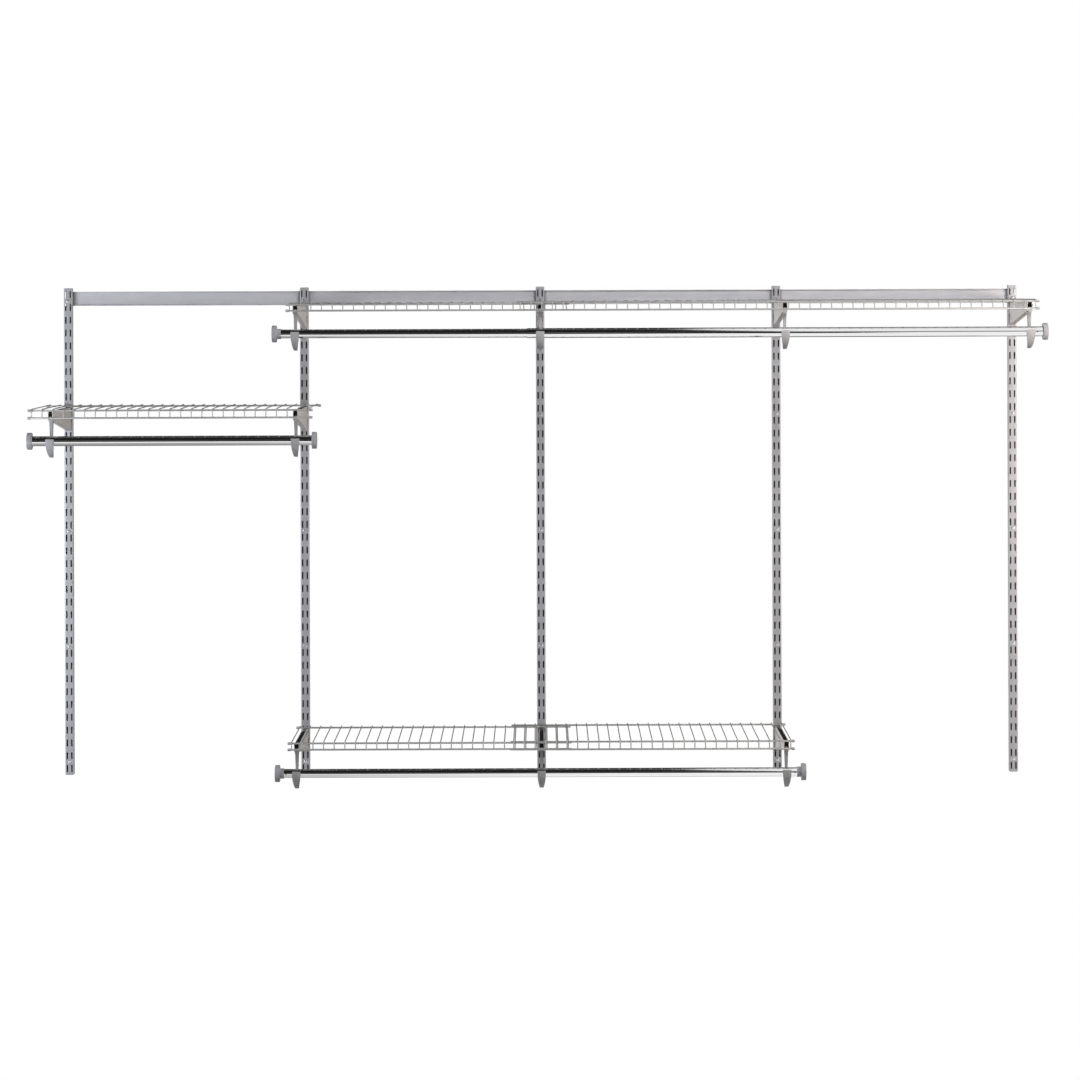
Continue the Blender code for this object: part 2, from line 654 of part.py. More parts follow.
# Inner shelf sections, which slide along X in the outer ones
inner_sections = {
    "top": ("shelf_top_inner", TOP_INNER_PAST_FIRST, TOP_INNER_PAST_LAST),
    "lower": ("shelf_lower_inner", LOWER_INNER_PAST_FIRST, LOWER_INNER_PAST_LAST),
}
for shelf, (name, past_first, past_last) in inner_sections.items():
    left, right = span(INNER_UPRIGHTS[shelf], past_first, past_last)
    slide = slider(f"{shelf}_shelf_slide", (left, -UPRIGHT_DEPTH, deck_z(shelf)))
    place(name, shelf_mesh(right - left, True), shelf_wire, (0, 0, 0), slide)

# Single rods with their end caps. The lower one is a thin tube, which lies on the hooks' cradles.
rod_y = -UPRIGHT_DEPTH - ROD_REACH
tube_inset = CAP_LENGTH - CAP_SOCKET_DEPTH + SEAT_GAP
cap_hole = CAP_LENGTH - tube_inset + CAP_HOLE_INSET
thin_drop = (ROD_DIAMETER - INNER_ROD_DIAMETER) / 2
single_rods = {
    "left": (ROD_DIAMETER, 0, 0, span(carriers("left"), LEFT_ROD_PAST_FIRST, LEFT_ROD_PAST_LAST)),
    "lower": (
        INNER_ROD_DIAMETER, CAP_NECK_LENGTH, thin_drop,
        span(carriers("lower"), LOWER_ROD_PAST_FIRST, LOWER_ROD_PAST_LAST),
    ),
}
for shelf, (diameter, neck, drop, (left, right)) in single_rods.items():
    z = deck_z(shelf) - ROD_DROP - drop
    length = right - left - 2 * tube_inset
    tube = tube_mesh(diameter, length, (cap_hole, length - cap_hole))
    place(f"rod_{shelf}", tube, rod_chrome, (left + tube_inset, rod_y, z))
    place(f"cap_{shelf}_a", cap_mesh(diameter, neck, -1), cap_plastic, (left, rod_y, z))
    place(f"cap_{shelf}_b", cap_mesh(diameter, neck, 1), cap_plastic, (right, rod_y, z))

# Top rod. The inner tube slides along X in the outer one and takes its cap with it.
left, right = span(carriers("top"), TOP_ROD_PAST_FIRST, TOP_ROD_PAST_LAST)
step = upright_x(OUTER_UPRIGHTS["top"][0]) - TOP_ROD_STEP_PAST_MIDDLE
z = deck_z("top") - ROD_DROP
length = right - step - tube_inset
outer_tube = tube_mesh(ROD_DIAMETER, length, (ROD_HOLE_INSET, length - cap_hole))
place("rod_top_outer", outer_tube, rod_chrome, (step, rod_y, z))
place("cap_top_b", cap_mesh(ROD_DIAMETER, 0, 1), cap_plastic, (right, rod_y, z))
rod_slide = slider("top_rod_slide", (left, rod_y, z))
inner_length = step + TOP_ROD_OVERLAP - left - tube_inset
inner_tube = tube_mesh(INNER_ROD_DIAMETER, inner_length, ())
place("rod_top_inner", inner_tube, rod_chrome, (tube_inset, 0, 0), rod_slide)
inner_cap = cap_mesh(INNER_ROD_DIAMETER, CAP_NECK_LENGTH, -1)
place("cap_top_a", inner_cap, cap_plastic, (0, 0, 0), rod_slide)
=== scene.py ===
# %% [markdown]
# A wall mounted closet system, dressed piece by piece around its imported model.
# Five slotted uprights hang on a rail. Folded brackets hook into the slots and carry wire shelves,
# and a moulded hook in the nose of each bracket carries a chromed hanging rod.
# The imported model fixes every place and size, so each cell reads a node's box before it models.

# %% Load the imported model
import json
import math
from contextlib import contextmanager

import bmesh
import bpy
from mathutils import Matrix, Vector


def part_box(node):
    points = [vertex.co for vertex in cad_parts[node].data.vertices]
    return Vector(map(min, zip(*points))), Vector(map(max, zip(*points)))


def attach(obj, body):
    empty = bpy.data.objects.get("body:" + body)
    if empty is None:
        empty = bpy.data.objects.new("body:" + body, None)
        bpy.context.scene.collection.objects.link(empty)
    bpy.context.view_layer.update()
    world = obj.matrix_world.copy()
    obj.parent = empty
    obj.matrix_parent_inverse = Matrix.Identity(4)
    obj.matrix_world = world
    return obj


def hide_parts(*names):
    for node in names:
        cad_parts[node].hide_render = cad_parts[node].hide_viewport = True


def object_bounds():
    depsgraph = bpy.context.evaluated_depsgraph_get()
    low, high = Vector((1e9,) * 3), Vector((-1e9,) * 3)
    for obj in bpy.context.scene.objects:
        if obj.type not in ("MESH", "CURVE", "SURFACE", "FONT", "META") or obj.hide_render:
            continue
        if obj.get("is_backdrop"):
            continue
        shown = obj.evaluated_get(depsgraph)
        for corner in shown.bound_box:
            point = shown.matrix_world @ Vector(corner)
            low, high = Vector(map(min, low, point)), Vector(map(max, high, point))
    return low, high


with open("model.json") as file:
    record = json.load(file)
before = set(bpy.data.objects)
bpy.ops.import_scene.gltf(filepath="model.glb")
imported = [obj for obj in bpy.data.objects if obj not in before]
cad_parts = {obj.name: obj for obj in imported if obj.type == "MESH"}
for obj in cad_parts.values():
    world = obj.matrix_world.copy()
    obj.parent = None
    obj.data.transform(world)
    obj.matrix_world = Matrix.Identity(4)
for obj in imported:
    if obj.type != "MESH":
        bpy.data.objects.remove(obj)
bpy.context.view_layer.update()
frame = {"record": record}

body_of = {
    node: body
    for body, nodes in frame["record"]["behaviour"]["bodies"].items()
    for node in nodes
}

# %% [markdown]
# Modelling by hand means: select one object, enter edit mode, pick faces or edges by where they are,
# and run an operator on them. These helpers do just that, so that every later cell can stay short.
# A script has no mouse, so a pick is a test on the middle of each vertex, edge or face.

# %% Selecting and editing
def focus(piece):
    """Makes a piece the only selected one, and the active one."""
    bpy.ops.object.select_all(action="DESELECT")
    piece.select_set(True)
    bpy.context.view_layer.objects.active = piece


@contextmanager
def editing(piece):
    """Edit mode on one piece, for the lines inside the with block."""
    focus(piece)
    bpy.ops.object.mode_set(mode="EDIT")
    yield
    bpy.ops.object.mode_set(mode="OBJECT")


def pick(piece, kind, test):
    """Selects the vertices, edges or faces whose middle passes a test."""
    bpy.ops.mesh.select_mode(type=kind)
    bpy.ops.mesh.select_all(action="DESELECT")
    bm = bmesh.from_edit_mesh(piece.data)
    for item in {"VERT": bm.verts, "EDGE": bm.edges, "FACE": bm.faces}[kind]:
        corners = [item] if kind == "VERT" else item.verts
        middle = sum((corner.co for corner in corners), Vector()) / len(corners)
        item.select_set(bool(test(middle, item)))
    bm.select_flush_mode()
    bmesh.update_edit_mesh(piece.data)


def push(x=0, y=0, z=0):
    """Extrudes what is selected by a distance."""
    bpy.ops.mesh.extrude_region_move(TRANSFORM_OT_translate={"value": (x, y, z)})


def near(value, target, reach=0.00005):
    """Whether a place is the one that is meant."""
    return abs(value - target) < reach


# %% [markdown]
# Modifiers do what hands do badly: an even wall, a clean cut, a row of copies. Each one is applied
# at once, so what is left is plain mesh. A finished piece sits at the origin, and its place is in its
# mesh. What repeats is made once and copied.

# %% Finishing steps
def settle(piece):
    """Moves a piece's place, turn and size into its mesh."""
    focus(piece)
    bpy.ops.object.transform_apply(location=True, rotation=True, scale=True)
    return piece


def apply_step(piece, kind, **settings):
    """Adds a modifier and applies it."""
    focus(piece)
    step = piece.modifiers.new(kind.lower(), kind)
    for setting, value in settings.items():
        setattr(step, setting, value)
    bpy.ops.object.modifier_apply(modifier=step.name)


def combine(piece, tool, operation):
    """Cuts, joins or intersects a piece with a tool, which is used up."""
    apply_step(piece, "BOOLEAN", object=tool, operation=operation, solver="EXACT")
    bpy.data.objects.remove(tool)
    return piece


def gathered(pieces, name):
    """Several objects as one."""
    focus(pieces[0])
    for piece in pieces:
        piece.select_set(True)
    if len(pieces) > 1:
        bpy.ops.object.join()
    pieces[0].name = name
    return pieces[0]


def copied(piece, name, offset):
    """A copy with its own mesh, moved by an offset."""
    copy = piece.copy()
    copy.data = piece.data.copy()
    copy.name = name
    copy.data.transform(Matrix.Translation(offset))
    bpy.context.scene.collection.objects.link(copy)
    return copy


def smoothed(piece, degrees=35):
    """Smooth shading that keeps the edges sharper than an angle."""
    focus(piece)
    bpy.ops.object.shade_smooth_by_angle(angle=math.radians(degrees))
    return piece


def round_edges(piece, width, segments=2, degrees=40):
    """A small round on every edge sharper than an angle."""
    apply_step(
        piece, "BEVEL", width=width, segments=segments,
        limit_method="ANGLE", angle_limit=math.radians(degrees),
    )


# %% [markdown]
# Every piece starts from a primitive of about its own size: a box for what is folded or moulded, and
# a cylinder for what is turned, drawn or drilled. Both are given by two places, as on a drawing.

# %% Starting shapes
def block(low, high, name="block"):
    """A box between two corners, as a start for shaping."""
    low, high = Vector(low), Vector(high)
    bpy.ops.mesh.primitive_cube_add(size=1, location=(low + high) / 2, scale=high - low)
    piece = bpy.context.object
    piece.name = name
    return settle(piece)


ALONG = {"X": (0, math.pi / 2, 0), "Y": (math.pi / 2, 0, 0), "Z": (0, 0, 0)}


def turned(radius, start, end, axis, sides, ends="NGON"):
    """A cylinder between two points on one axis, as a start for shaping."""
    start, end = Vector(start), Vector(end)
    bpy.ops.mesh.primitive_cylinder_add(
        vertices=sides, radius=radius, depth=(end - start).length,
        location=(start + end) / 2, rotation=ALONG[axis], end_fill_type=ends,
    )
    return settle(bpy.context.object)


# %% [markdown]
# The camera stands where the photograph was taken: level, almost eight metres away, at the height of
# the rail. A long lens keeps the uprights parallel, and the shift brings the lower shelf into view
# without tilting. The frame leans by a fifth of a degree, as in the photograph.

# %% Camera
FRAME_PIXELS = 1080
FACE_METRES_PER_PIXEL = 0.0024787
CAMERA_DISTANCE = 7.934
CAMERA_HEIGHT = 0.018
HORIZON_PIXEL = 290
CAMERA_LEAN = math.radians(0.2)
SENSOR_MM = 36
CAMERA_REACH = 60

face_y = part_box("upright_3")[0].y
pixels_of_focus = CAMERA_DISTANCE / FACE_METRES_PER_PIXEL
bpy.ops.object.camera_add(
    location=(0, face_y - CAMERA_DISTANCE, CAMERA_HEIGHT),
    rotation=(math.pi / 2, CAMERA_LEAN, 0),
)
camera = bpy.context.object
camera.name = "camera"
camera.data.sensor_width = SENSOR_MM
camera.data.lens = pixels_of_focus * SENSOR_MM / FRAME_PIXELS
camera.data.shift_y = (HORIZON_PIXEL - FRAME_PIXELS / 2) / FRAME_PIXELS
camera.data.clip_end = CAMERA_REACH
bpy.context.scene.camera = camera
bpy.context.scene.view_settings.view_transform = "Standard"
print("Lens", round(camera.data.lens, 1), "mm, shift", round(camera.data.shift_y, 4))

# %% [markdown]
# A finish is a small tree of nodes, wired together. Each helper here adds a node and returns what
# comes out of it, so that the finishes and the light further on read like sums. A result knows the
# tree that it is in, so the tree is named only where a place is read.

# %% Helpers for nodes
def place_in(tree, kind="Object"):
    """X, Y and Z of a texture coordinate, as three results."""
    coordinate, parts = tree.nodes.new("ShaderNodeTexCoord"), tree.nodes.new("ShaderNodeSeparateXYZ")
    tree.links.new(coordinate.outputs[kind], parts.inputs["Vector"])
    return [parts.outputs[name] for name in "XYZ"]


def wire_up(value, socket):
    """Joins a result to a socket, or writes a number or a colour on it."""
    if isinstance(value, bpy.types.NodeSocket):
        socket.id_data.links.new(value, socket)
    else:
        socket.default_value = value


def figure(operation, first, *others):
    """A sum on a result and on more results or numbers."""
    step = first.id_data.nodes.new("ShaderNodeMath")
    step.operation = operation
    for value, socket in zip((first, *others), step.inputs):
        wire_up(value, socket)
    return step.outputs["Value"]


def ramp(source, start, end, low=0.0, high=1.0):
    """Goes smoothly from low to high while a result goes from start to end."""
    step = source.id_data.nodes.new("ShaderNodeMapRange")
    step.interpolation_type = "SMOOTHSTEP"
    names = ("Value", "From Min", "From Max", "To Min", "To Max")
    for name, value in zip(names, (source, start, end, low, high)):
        wire_up(value, step.inputs[name])
    return step.outputs["Result"]


def blend(share, first, second):
    """Mix of two tones or colours. Each may be a number, a colour or a result."""
    step = share.id_data.nodes.new("ShaderNodeMix")
    step.data_type = "RGBA"
    wire_up(share, step.inputs["Factor"])
    for name, value in (("A", first), ("B", second)):
        wire_up((value, value, value, 1) if isinstance(value, float) else value, step.inputs[name])
    return step.outputs["Result"]


# %% [markdown]
# In a procedural finish, noise on Object coordinates varies the colour and the roughness a little,
# and a finer noise drives a bump. Object coordinates are metres here, so a noise scale of 1000 makes
# grains about a millimetre wide. One helper builds the tree that all finishes share.

# %% Finish helper
COLOUR_PATCH_GRAINS = 12
GLOSS_PATCH_GRAINS = 5
SHADE_STOPS = (0.3, 0.7)
GRAIN_RISE = 0.0005


def finish(
    name, colour, roughness, metallic, grain,
    spread=0.08, rough_spread=0.06, bump=0.05, stretch=(1, 1, 1), shine=0.5,
):
    """A Principled finish with noise in its colour, roughness and bump. Stretch draws the grain out."""
    made = bpy.data.materials.new(name)
    made.use_nodes = True
    nodes, links = made.node_tree.nodes, made.node_tree.links
    shader = nodes["Principled BSDF"]
    shader.inputs["Metallic"].default_value = metallic
    shader.inputs["Specular IOR Level"].default_value = shine
    place = nodes.new("ShaderNodeTexCoord")
    draw = nodes.new("ShaderNodeMapping")
    draw.inputs["Scale"].default_value = stretch
    links.new(place.outputs["Object"], draw.inputs["Vector"])

    def noise(scale, detail):
        texture = nodes.new("ShaderNodeTexNoise")
        texture.inputs["Scale"].default_value = scale
        texture.inputs["Detail"].default_value = detail
        links.new(draw.outputs["Vector"], texture.inputs["Vector"])
        return texture.outputs["Fac"]

    shades = nodes.new("ShaderNodeValToRGB")
    darker = [value * (1 - spread) for value in colour]
    lighter = [min(1, value * (1 + spread)) for value in colour]
    for stop, position, shade in zip(shades.color_ramp.elements, SHADE_STOPS, (darker, lighter)):
        stop.position, stop.color = position, (*shade, 1)
    links.new(noise(grain / COLOUR_PATCH_GRAINS, detail=6), shades.inputs["Fac"])
    links.new(shades.outputs["Color"], shader.inputs["Base Color"])

    gloss = nodes.new("ShaderNodeMapRange")
    gloss.inputs["To Min"].default_value = max(0, roughness - rough_spread)
    gloss.inputs["To Max"].default_value = roughness + rough_spread
    links.new(noise(grain / GLOSS_PATCH_GRAINS, detail=4), gloss.inputs["Value"])
    links.new(gloss.outputs["Result"], shader.inputs["Roughness"])

    relief = nodes.new("ShaderNodeBump")
    relief.inputs["Strength"].default_value = bump
    relief.inputs["Distance"].default_value = GRAIN_RISE
    links.new(noise(grain, detail=3), relief.inputs["Height"])
    links.new(relief.outputs["Normal"], shader.inputs["Normal"])
    print("Finish:", name)
    return made


# %% [markdown]
# Ten finishes cover the whole object. The steel parts have a satin silver coat that is a little
# bluish on the uprights and warmer on the brackets, the wire's coat is more metallic, the rods are
# chromed, and the hooks, caps and liners are moulded in grey and black.

# %% The steel's finishes
upright_coat = finish(
    "upright_coat", (0.55, 0.55, 0.565), roughness=0.45, metallic=0.4, grain=900, spread=0.05)
rail_coat = finish(
    "rail_coat", (0.72, 0.72, 0.735), roughness=0.45, metallic=0.35, grain=900, spread=0.04,
    stretch=(0.3, 1, 1))
bracket_coat = finish(
    "bracket_coat", (0.84, 0.8, 0.745), roughness=0.45, metallic=0.1, grain=1100, spread=0.06, shine=0.6)
wire_coat = finish(
    "wire_coat", (0.54, 0.54, 0.525), roughness=0.42, metallic=0.5, grain=1400, spread=0.07)
rod_chrome = finish(
    "rod_chrome", (0.86, 0.86, 0.86), roughness=0.05, metallic=1, grain=700, spread=0.02,
    rough_spread=0.02, bump=0.006, stretch=(0.2, 1, 1))
screw_plate = finish(
    "screw_plate", (0.9, 0.9, 0.91), roughness=0.22, metallic=0.85, grain=2500, spread=0.06)

# %% The mouldings' finishes
hook_moulding = finish(
    "hook_moulding", (0.43, 0.43, 0.425), roughness=0.48, metallic=0, grain=1600, spread=0.06, bump=0.12)
cap_moulding = finish(
    "cap_moulding", (0.41, 0.41, 0.425), roughness=0.4, metallic=0, grain=1600, spread=0.06, bump=0.1)
liner_moulding = finish(
    "liner_moulding", (0.005, 0.005, 0.0055), roughness=0.65, metallic=0, grain=1600, spread=0.15,
    rough_spread=0.08, bump=0.12, shine=0.2)
tip_vinyl = finish(
    "tip_vinyl", (0.52, 0.52, 0.53), roughness=0.4, metallic=0, grain=1800, spread=0.05,
    rough_spread=0.05, bump=0.06)

# %% [markdown]
# The coat's colour is darkened where shade falls, as painted shade: towards the wall in an
# upright's channel, on the sides that face its slit, and, as painted shadow, on the rail behind an
# upright and just beside it. That is why the slots look dark. Each place gives a share of the coat's
# colour, and wrapping X at the uprights' spacing repeats it at every upright.

# %% Painted shade in the channels and painted shadow on the rail
# Painted shade: the coat's colour is darkened deep in each channel and on the sides facing its slit
CHANNEL_SHADE_DEPTHS = (-0.0035, -0.0075)
CHANNEL_SHADE_SHARE = 0.06
SLIT_SIDE_SHADE_REACH = (-0.003, -0.0005)
SLIT_SIDE_SHADE_SHARE = 0.04
# Painted shadow on the rail: its colour is darkened behind each upright and just beside it
RAIL_SHADOW_MARGINS = (-0.003, 0.008)
RAIL_SHADOW_SHARE = 0.2


def paint_shade_into(coat, share):
    """Scales a coat's colour by a result between 0 and 1, which paints shade into it."""
    base = coat.node_tree.nodes["Principled BSDF"].inputs["Base Color"]
    shade_scale = coat.node_tree.nodes.new("ShaderNodeVectorMath")
    shade_scale.operation = "SCALE"
    wire_up(base.links[0].from_socket, shade_scale.inputs["Vector"])
    wire_up(share, shade_scale.inputs["Scale"])
    wire_up(shade_scale.outputs["Vector"], base)


low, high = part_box("upright_4")
upright_spacing = (low.x + high.x) / 2
upright_half = (high.x - low.x) / 2
x, y, z = place_in(upright_coat.node_tree)
facing = place_in(upright_coat.node_tree, "Normal")[0]
facing_slit = figure("MULTIPLY", figure("WRAP", x, upright_spacing / 2, -upright_spacing / 2), facing)
# Painted shade on the channel's sides that face the slit, and deep in the channel towards the wall
paint_shade_into(upright_coat, ramp(facing_slit, *SLIT_SIDE_SHADE_REACH, SLIT_SIDE_SHADE_SHARE))
paint_shade_into(upright_coat, ramp(y, *CHANNEL_SHADE_DEPTHS, CHANNEL_SHADE_SHARE))
# Painted shadow on the rail behind each upright and just beside it
x, y, z = place_in(rail_coat.node_tree)
rail_shadow_span = [upright_half + margin for margin in RAIL_SHADOW_MARGINS]
paint_shade_into(rail_coat, ramp(figure("PINGPONG", x, upright_spacing / 2), *rail_shadow_span, RAIL_SHADOW_SHARE))
print("Uprights are", round(upright_spacing, 4), "m apart")

# %% [markdown]
# The two long shelves and the top rod can be drawn out and in, so a piece that belongs to a sliding
# section has to move with it.

# %% Dressing a piece
def dress(piece, coat, nodes=(), body=None):
    """Gives a piece its finish, its body and the nodes that it stands for."""
    piece.data.materials.clear()
    piece.data.materials.append(coat)
    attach(piece, body or body_of[nodes[0]])
    if nodes:
        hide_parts(*nodes)


# %% [markdown]
# An upright is one strip of steel, roll formed into a channel whose back edges are folded in, so that
# only a slit is left towards the wall, then pierced. The way here copies the factory: fold a thin
# sheet, round its four long folds, thicken it inwards, and pierce it. The rounded slot is a cylinder
# with its halves pulled apart, copied by two arrays.

# %% Upright sizes
UPRIGHTS = range(1, 6)
UPRIGHT_SHEET = 0.0014
UPRIGHT_FOLD = 0.0026
UPRIGHT_CORNER = 0.003
SLOT_ROWS = 38
SLOT_PITCH = 0.03175
SLOT_HEIGHT = 0.018
SLOT_WIDTH = 0.0038
SLOT_PAIR_SPACING = 0.0112
SCREW_ROWS = (1, 10, 19, 28, 37)
SCREW_HOLE = 0.0048
BACK_SLIT = 0.002
CUT = 0.002
PUNCH_SIDES = 16
HOLE_SIDES = 20

# %% Folding an upright
low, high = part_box("upright_3")
upright_x, upright_top = (low.x + high.x) / 2, high.z
upright = block(low, high, "upright")
with editing(upright):
    pick(upright, "FACE", lambda middle, face: face.normal.y > 0.5 or abs(face.normal.z) > 0.5)
    bpy.ops.mesh.delete(type="FACE")
    for side, edge_x in ((1, low.x), (-1, high.x)):
        pick(upright, "EDGE", lambda middle, edge: near(middle.y, high.y) and near(middle.x, edge_x))
        push(x=side * (high.x - low.x - BACK_SLIT) / 2)
    pick(
        upright, "EDGE",
        lambda middle, edge: near(abs(middle.x - upright_x), upright_half) and len(edge.link_faces) == 2,
    )
    bpy.ops.mesh.bevel(offset=UPRIGHT_FOLD, segments=4)
    bpy.ops.mesh.select_all(action="SELECT")
    bpy.ops.mesh.normals_make_consistent(inside=False)
apply_step(upright, "SOLIDIFY", thickness=UPRIGHT_SHEET, offset=-1, use_even_offset=True)
print("Upright folded, with", len(upright.data.polygons), "faces")

# %% Piercing the slots
def slot_cutter():
    """Stadium shaped punch for the left slot of the top row."""
    x = upright_x - SLOT_PAIR_SPACING / 2
    z = upright_top - SLOT_PITCH / 2
    behind_web = low.y + UPRIGHT_SHEET + CUT
    punch = turned(SLOT_WIDTH / 2, (x, low.y - CUT, z), (x, behind_web, z), "Y", PUNCH_SIDES)
    pull = (SLOT_HEIGHT - SLOT_WIDTH) / 2
    with editing(punch):
        pick(punch, "VERT", lambda middle, vert: middle.z > z)
        bpy.ops.transform.translate(value=(0, 0, pull))
        pick(punch, "VERT", lambda middle, vert: middle.z < z)
        bpy.ops.transform.translate(value=(0, 0, -pull))
    return punch


punches = slot_cutter()
for count, step in ((2, (SLOT_PAIR_SPACING, 0, 0)), (SLOT_ROWS, (0, 0, -SLOT_PITCH))):
    apply_step(
        punches, "ARRAY", count=count, use_relative_offset=False,
        use_constant_offset=True, constant_offset_displace=step,
    )
combine(upright, punches, "DIFFERENCE")
print("Slots in an upright:", 2 * SLOT_ROWS)

# %% [markdown]
# The screw holes, which go on through the folds, and the notch that lets the channel sit over the
# rail are cut the same way. The corners at both ends are rounded by keeping only what a rounded
# plate of the same outline covers.

# %% Holes and notch
holes = [
    turned(
        SCREW_HOLE / 2, (upright_x, low.y - CUT, upright_top - row * SLOT_PITCH),
        (upright_x, high.y + CUT, upright_top - row * SLOT_PITCH), "Y", HOLE_SIDES,
    )
    for row in SCREW_ROWS
]
combine(upright, gathered(holes, "screw_holes"), "DIFFERENCE")

SEAT_GAP = 0.0003
rail_low, rail_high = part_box("rail_left")
notch = block(
    (low.x - CUT, rail_low.y - SEAT_GAP, rail_low.z - SEAT_GAP),
    (high.x + CUT, high.y + CUT, rail_high.z + SEAT_GAP),
)
combine(upright, notch, "DIFFERENCE")
print("Holes in an upright:", len(SCREW_ROWS))

# %% Round ends, and a copy at each place
PLATE_EASE = 0.00001
plate = block(
    (low.x - PLATE_EASE, low.y - CUT, low.z - PLATE_EASE),
    (high.x + PLATE_EASE, high.y + CUT, high.z + PLATE_EASE),
)
with editing(plate):
    pick(plate, "EDGE", lambda middle, edge: near(middle.y, (low.y + high.y) / 2))
    bpy.ops.mesh.bevel(offset=UPRIGHT_CORNER, segments=5)
combine(upright, plate, "INTERSECT")
smoothed(upright)

for number in UPRIGHTS:
    node = f"upright_{number}"
    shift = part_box(node)[0].x - low.x
    dress(copied(upright, f"{node}_formed", (shift, 0, 0)), upright_coat, [node])
bpy.data.objects.remove(upright)
print("Uprights dressed:", number)

# %% [markdown]
# A pan head screw is a short cylinder whose front edge is rounded over, with a cross recess.
# The shank is the back face, inset and pulled back to the wall. Five go in each upright, and only
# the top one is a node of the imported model, so the other four are added here.

# %% Turning a screw
SCREW_ROUND = 0.0015
SCREW_SHANK = 0.0042
SCREW_HEAD_HEIGHT = 0.0026
SCREW_SIDES = 32
# Size of a recess's arm at its mouth, and the share of it that is left at its floor
ARM_LENGTH = (0.0042, 0.45)
ARM_WIDTH = (0.001, 0.7)
RECESS_DEPTH = 0.0013

low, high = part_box("wall_screw_3")
head_radius = (high.x - low.x) / 2
seat_y = low.y + SCREW_HEAD_HEIGHT
spot = Vector(((low.x + high.x) / 2, low.y, (low.z + high.z) / 2))
screw = turned(head_radius, spot, (spot.x, seat_y, spot.z), "Y", SCREW_SIDES)
with editing(screw):
    pick(screw, "FACE", lambda middle, face: face.normal.y < -0.5)
    bpy.ops.mesh.bevel(offset=SCREW_ROUND, segments=5)
    pick(screw, "FACE", lambda middle, face: face.normal.y > 0.5)
    bpy.ops.mesh.inset(thickness=head_radius - SCREW_SHANK / 2)
    push(y=high.y - seat_y)
for (wide, wide_left), (tall, tall_left) in ((ARM_LENGTH, ARM_WIDTH), (ARM_WIDTH, ARM_LENGTH)):
    arm = block(
        spot + Vector((-wide / 2, -CUT, -tall / 2)),
        spot + Vector((wide / 2, RECESS_DEPTH, tall / 2)), "recess")
    with editing(arm):
        pick(arm, "FACE", lambda middle, face: face.normal.y > 0.5)
        bpy.ops.transform.resize(value=(wide_left, 1, tall_left))
    combine(screw, arm, "DIFFERENCE")
smoothed(screw, degrees=30)
print("Screw head:", round(2000 * head_radius, 1), "mm wide")

# %% Placing the screws
for number in UPRIGHTS:
    node = f"wall_screw_{number}"
    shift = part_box(node)[0].x - low.x
    drops = [(row - SCREW_ROWS[0]) * SLOT_PITCH for row in SCREW_ROWS]
    row_of_screws = [copied(screw, "screw", (shift, 0, -drop)) for drop in drops]
    dress(gathered(row_of_screws, f"wall_screws_{number}"), screw_plate, [node])
bpy.data.objects.remove(screw)
print("Screws in each upright:", len(drops))

# %% [markdown]
# The rail is a rolled channel with its lips towards the room. It starts as a box without its front
# and ends: two folds are rounded, the sheet is thickened, and the lips' edges are eased so that the
# upper one catches light and the lower one is dark, as in the photograph.

# %% Rails
RAIL_SHEET = 0.0016
RAIL_FOLD = 0.0024
LIP_EASE = 0.0006

for side in ("left", "right"):
    node = f"rail_{side}"
    low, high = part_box(node)
    middle_x = (low.x + high.x) / 2
    rail = block(low, high, f"{node}_rolled")
    with editing(rail):
        pick(rail, "FACE", lambda middle, face: face.normal.y < -0.5 or abs(face.normal.x) > 0.5)
        bpy.ops.mesh.delete(type="FACE")
        pick(rail, "EDGE", lambda middle, edge: near(middle.y, high.y) and near(middle.x, middle_x))
        bpy.ops.mesh.bevel(offset=RAIL_FOLD, segments=4)
    apply_step(rail, "SOLIDIFY", thickness=RAIL_SHEET, offset=-1, use_even_offset=True)
    with editing(rail):
        pick(rail, "EDGE", lambda middle, edge: near(middle.y, low.y) and near(middle.x, middle_x))
        bpy.ops.mesh.bevel(offset=LIP_EASE, segments=3)
    screws = [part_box(f"wall_screw_{number}") for number in UPRIGHTS]
    spots = [(corner[0] + corner[1]) / 2 for corner in screws]
    holes = [
        turned(
            SCREW_HOLE / 2, (spot.x, high.y - RAIL_SHEET - CUT, spot.z),
            (spot.x, high.y + CUT, spot.z), "Y", HOLE_SIDES,
        )
        for spot in spots
        if low.x < spot.x < high.x
    ]
    combine(rail, gathered(holes, "rail_holes"), "DIFFERENCE")
    dress(smoothed(rail), rail_coat, [node])
    print(node, "is", round(high.x - low.x, 3), "m long with", len(holes), "holes")

# %% [markdown]
# A bracket is folded from one blank: two side plates joined by a floor along their sloping edge,
# with two tabs on each plate that drop behind the upright's web. The half plate is drawn as a plane,
# cut at the tabs' heights, grown by extruding single edges, mirrored, and thickened inwards.

# %% Bracket sizes
BRACKET_SHEET = 0.0015
BRACKET_FOLD = 0.0022
BRACKET_REAR_DROP = 0.066
BRACKET_NOSE_DROP = 0.0285
FLOOR_END_BACK = 0.034
TAB_HEIGHT = 0.01
TAB_LIP_DROP = 0.004
TAB_LIP_THICKNESS = 0.003
TAB_MIDDLES = (-0.014, -0.04575)
EDGE_EASE = 0.00025
SLOPE_REACH = 0.0002
MIRROR_MERGE = 0.0001


def deck_of(shelf):
    """Height of the outer section's top on a shelf."""
    node = {"left": "shelf_left", "top": "shelf_top_outer", "lower": "shelf_lower_outer"}[shelf]
    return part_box(node)[1].z


def slope_z(y, nose, deck):
    """Height of a bracket's lower edge at a place along it."""
    slope = (BRACKET_REAR_DROP - BRACKET_NOSE_DROP) / (face_y - SEAT_GAP - nose)
    return deck - BRACKET_NOSE_DROP - slope * (y - nose)


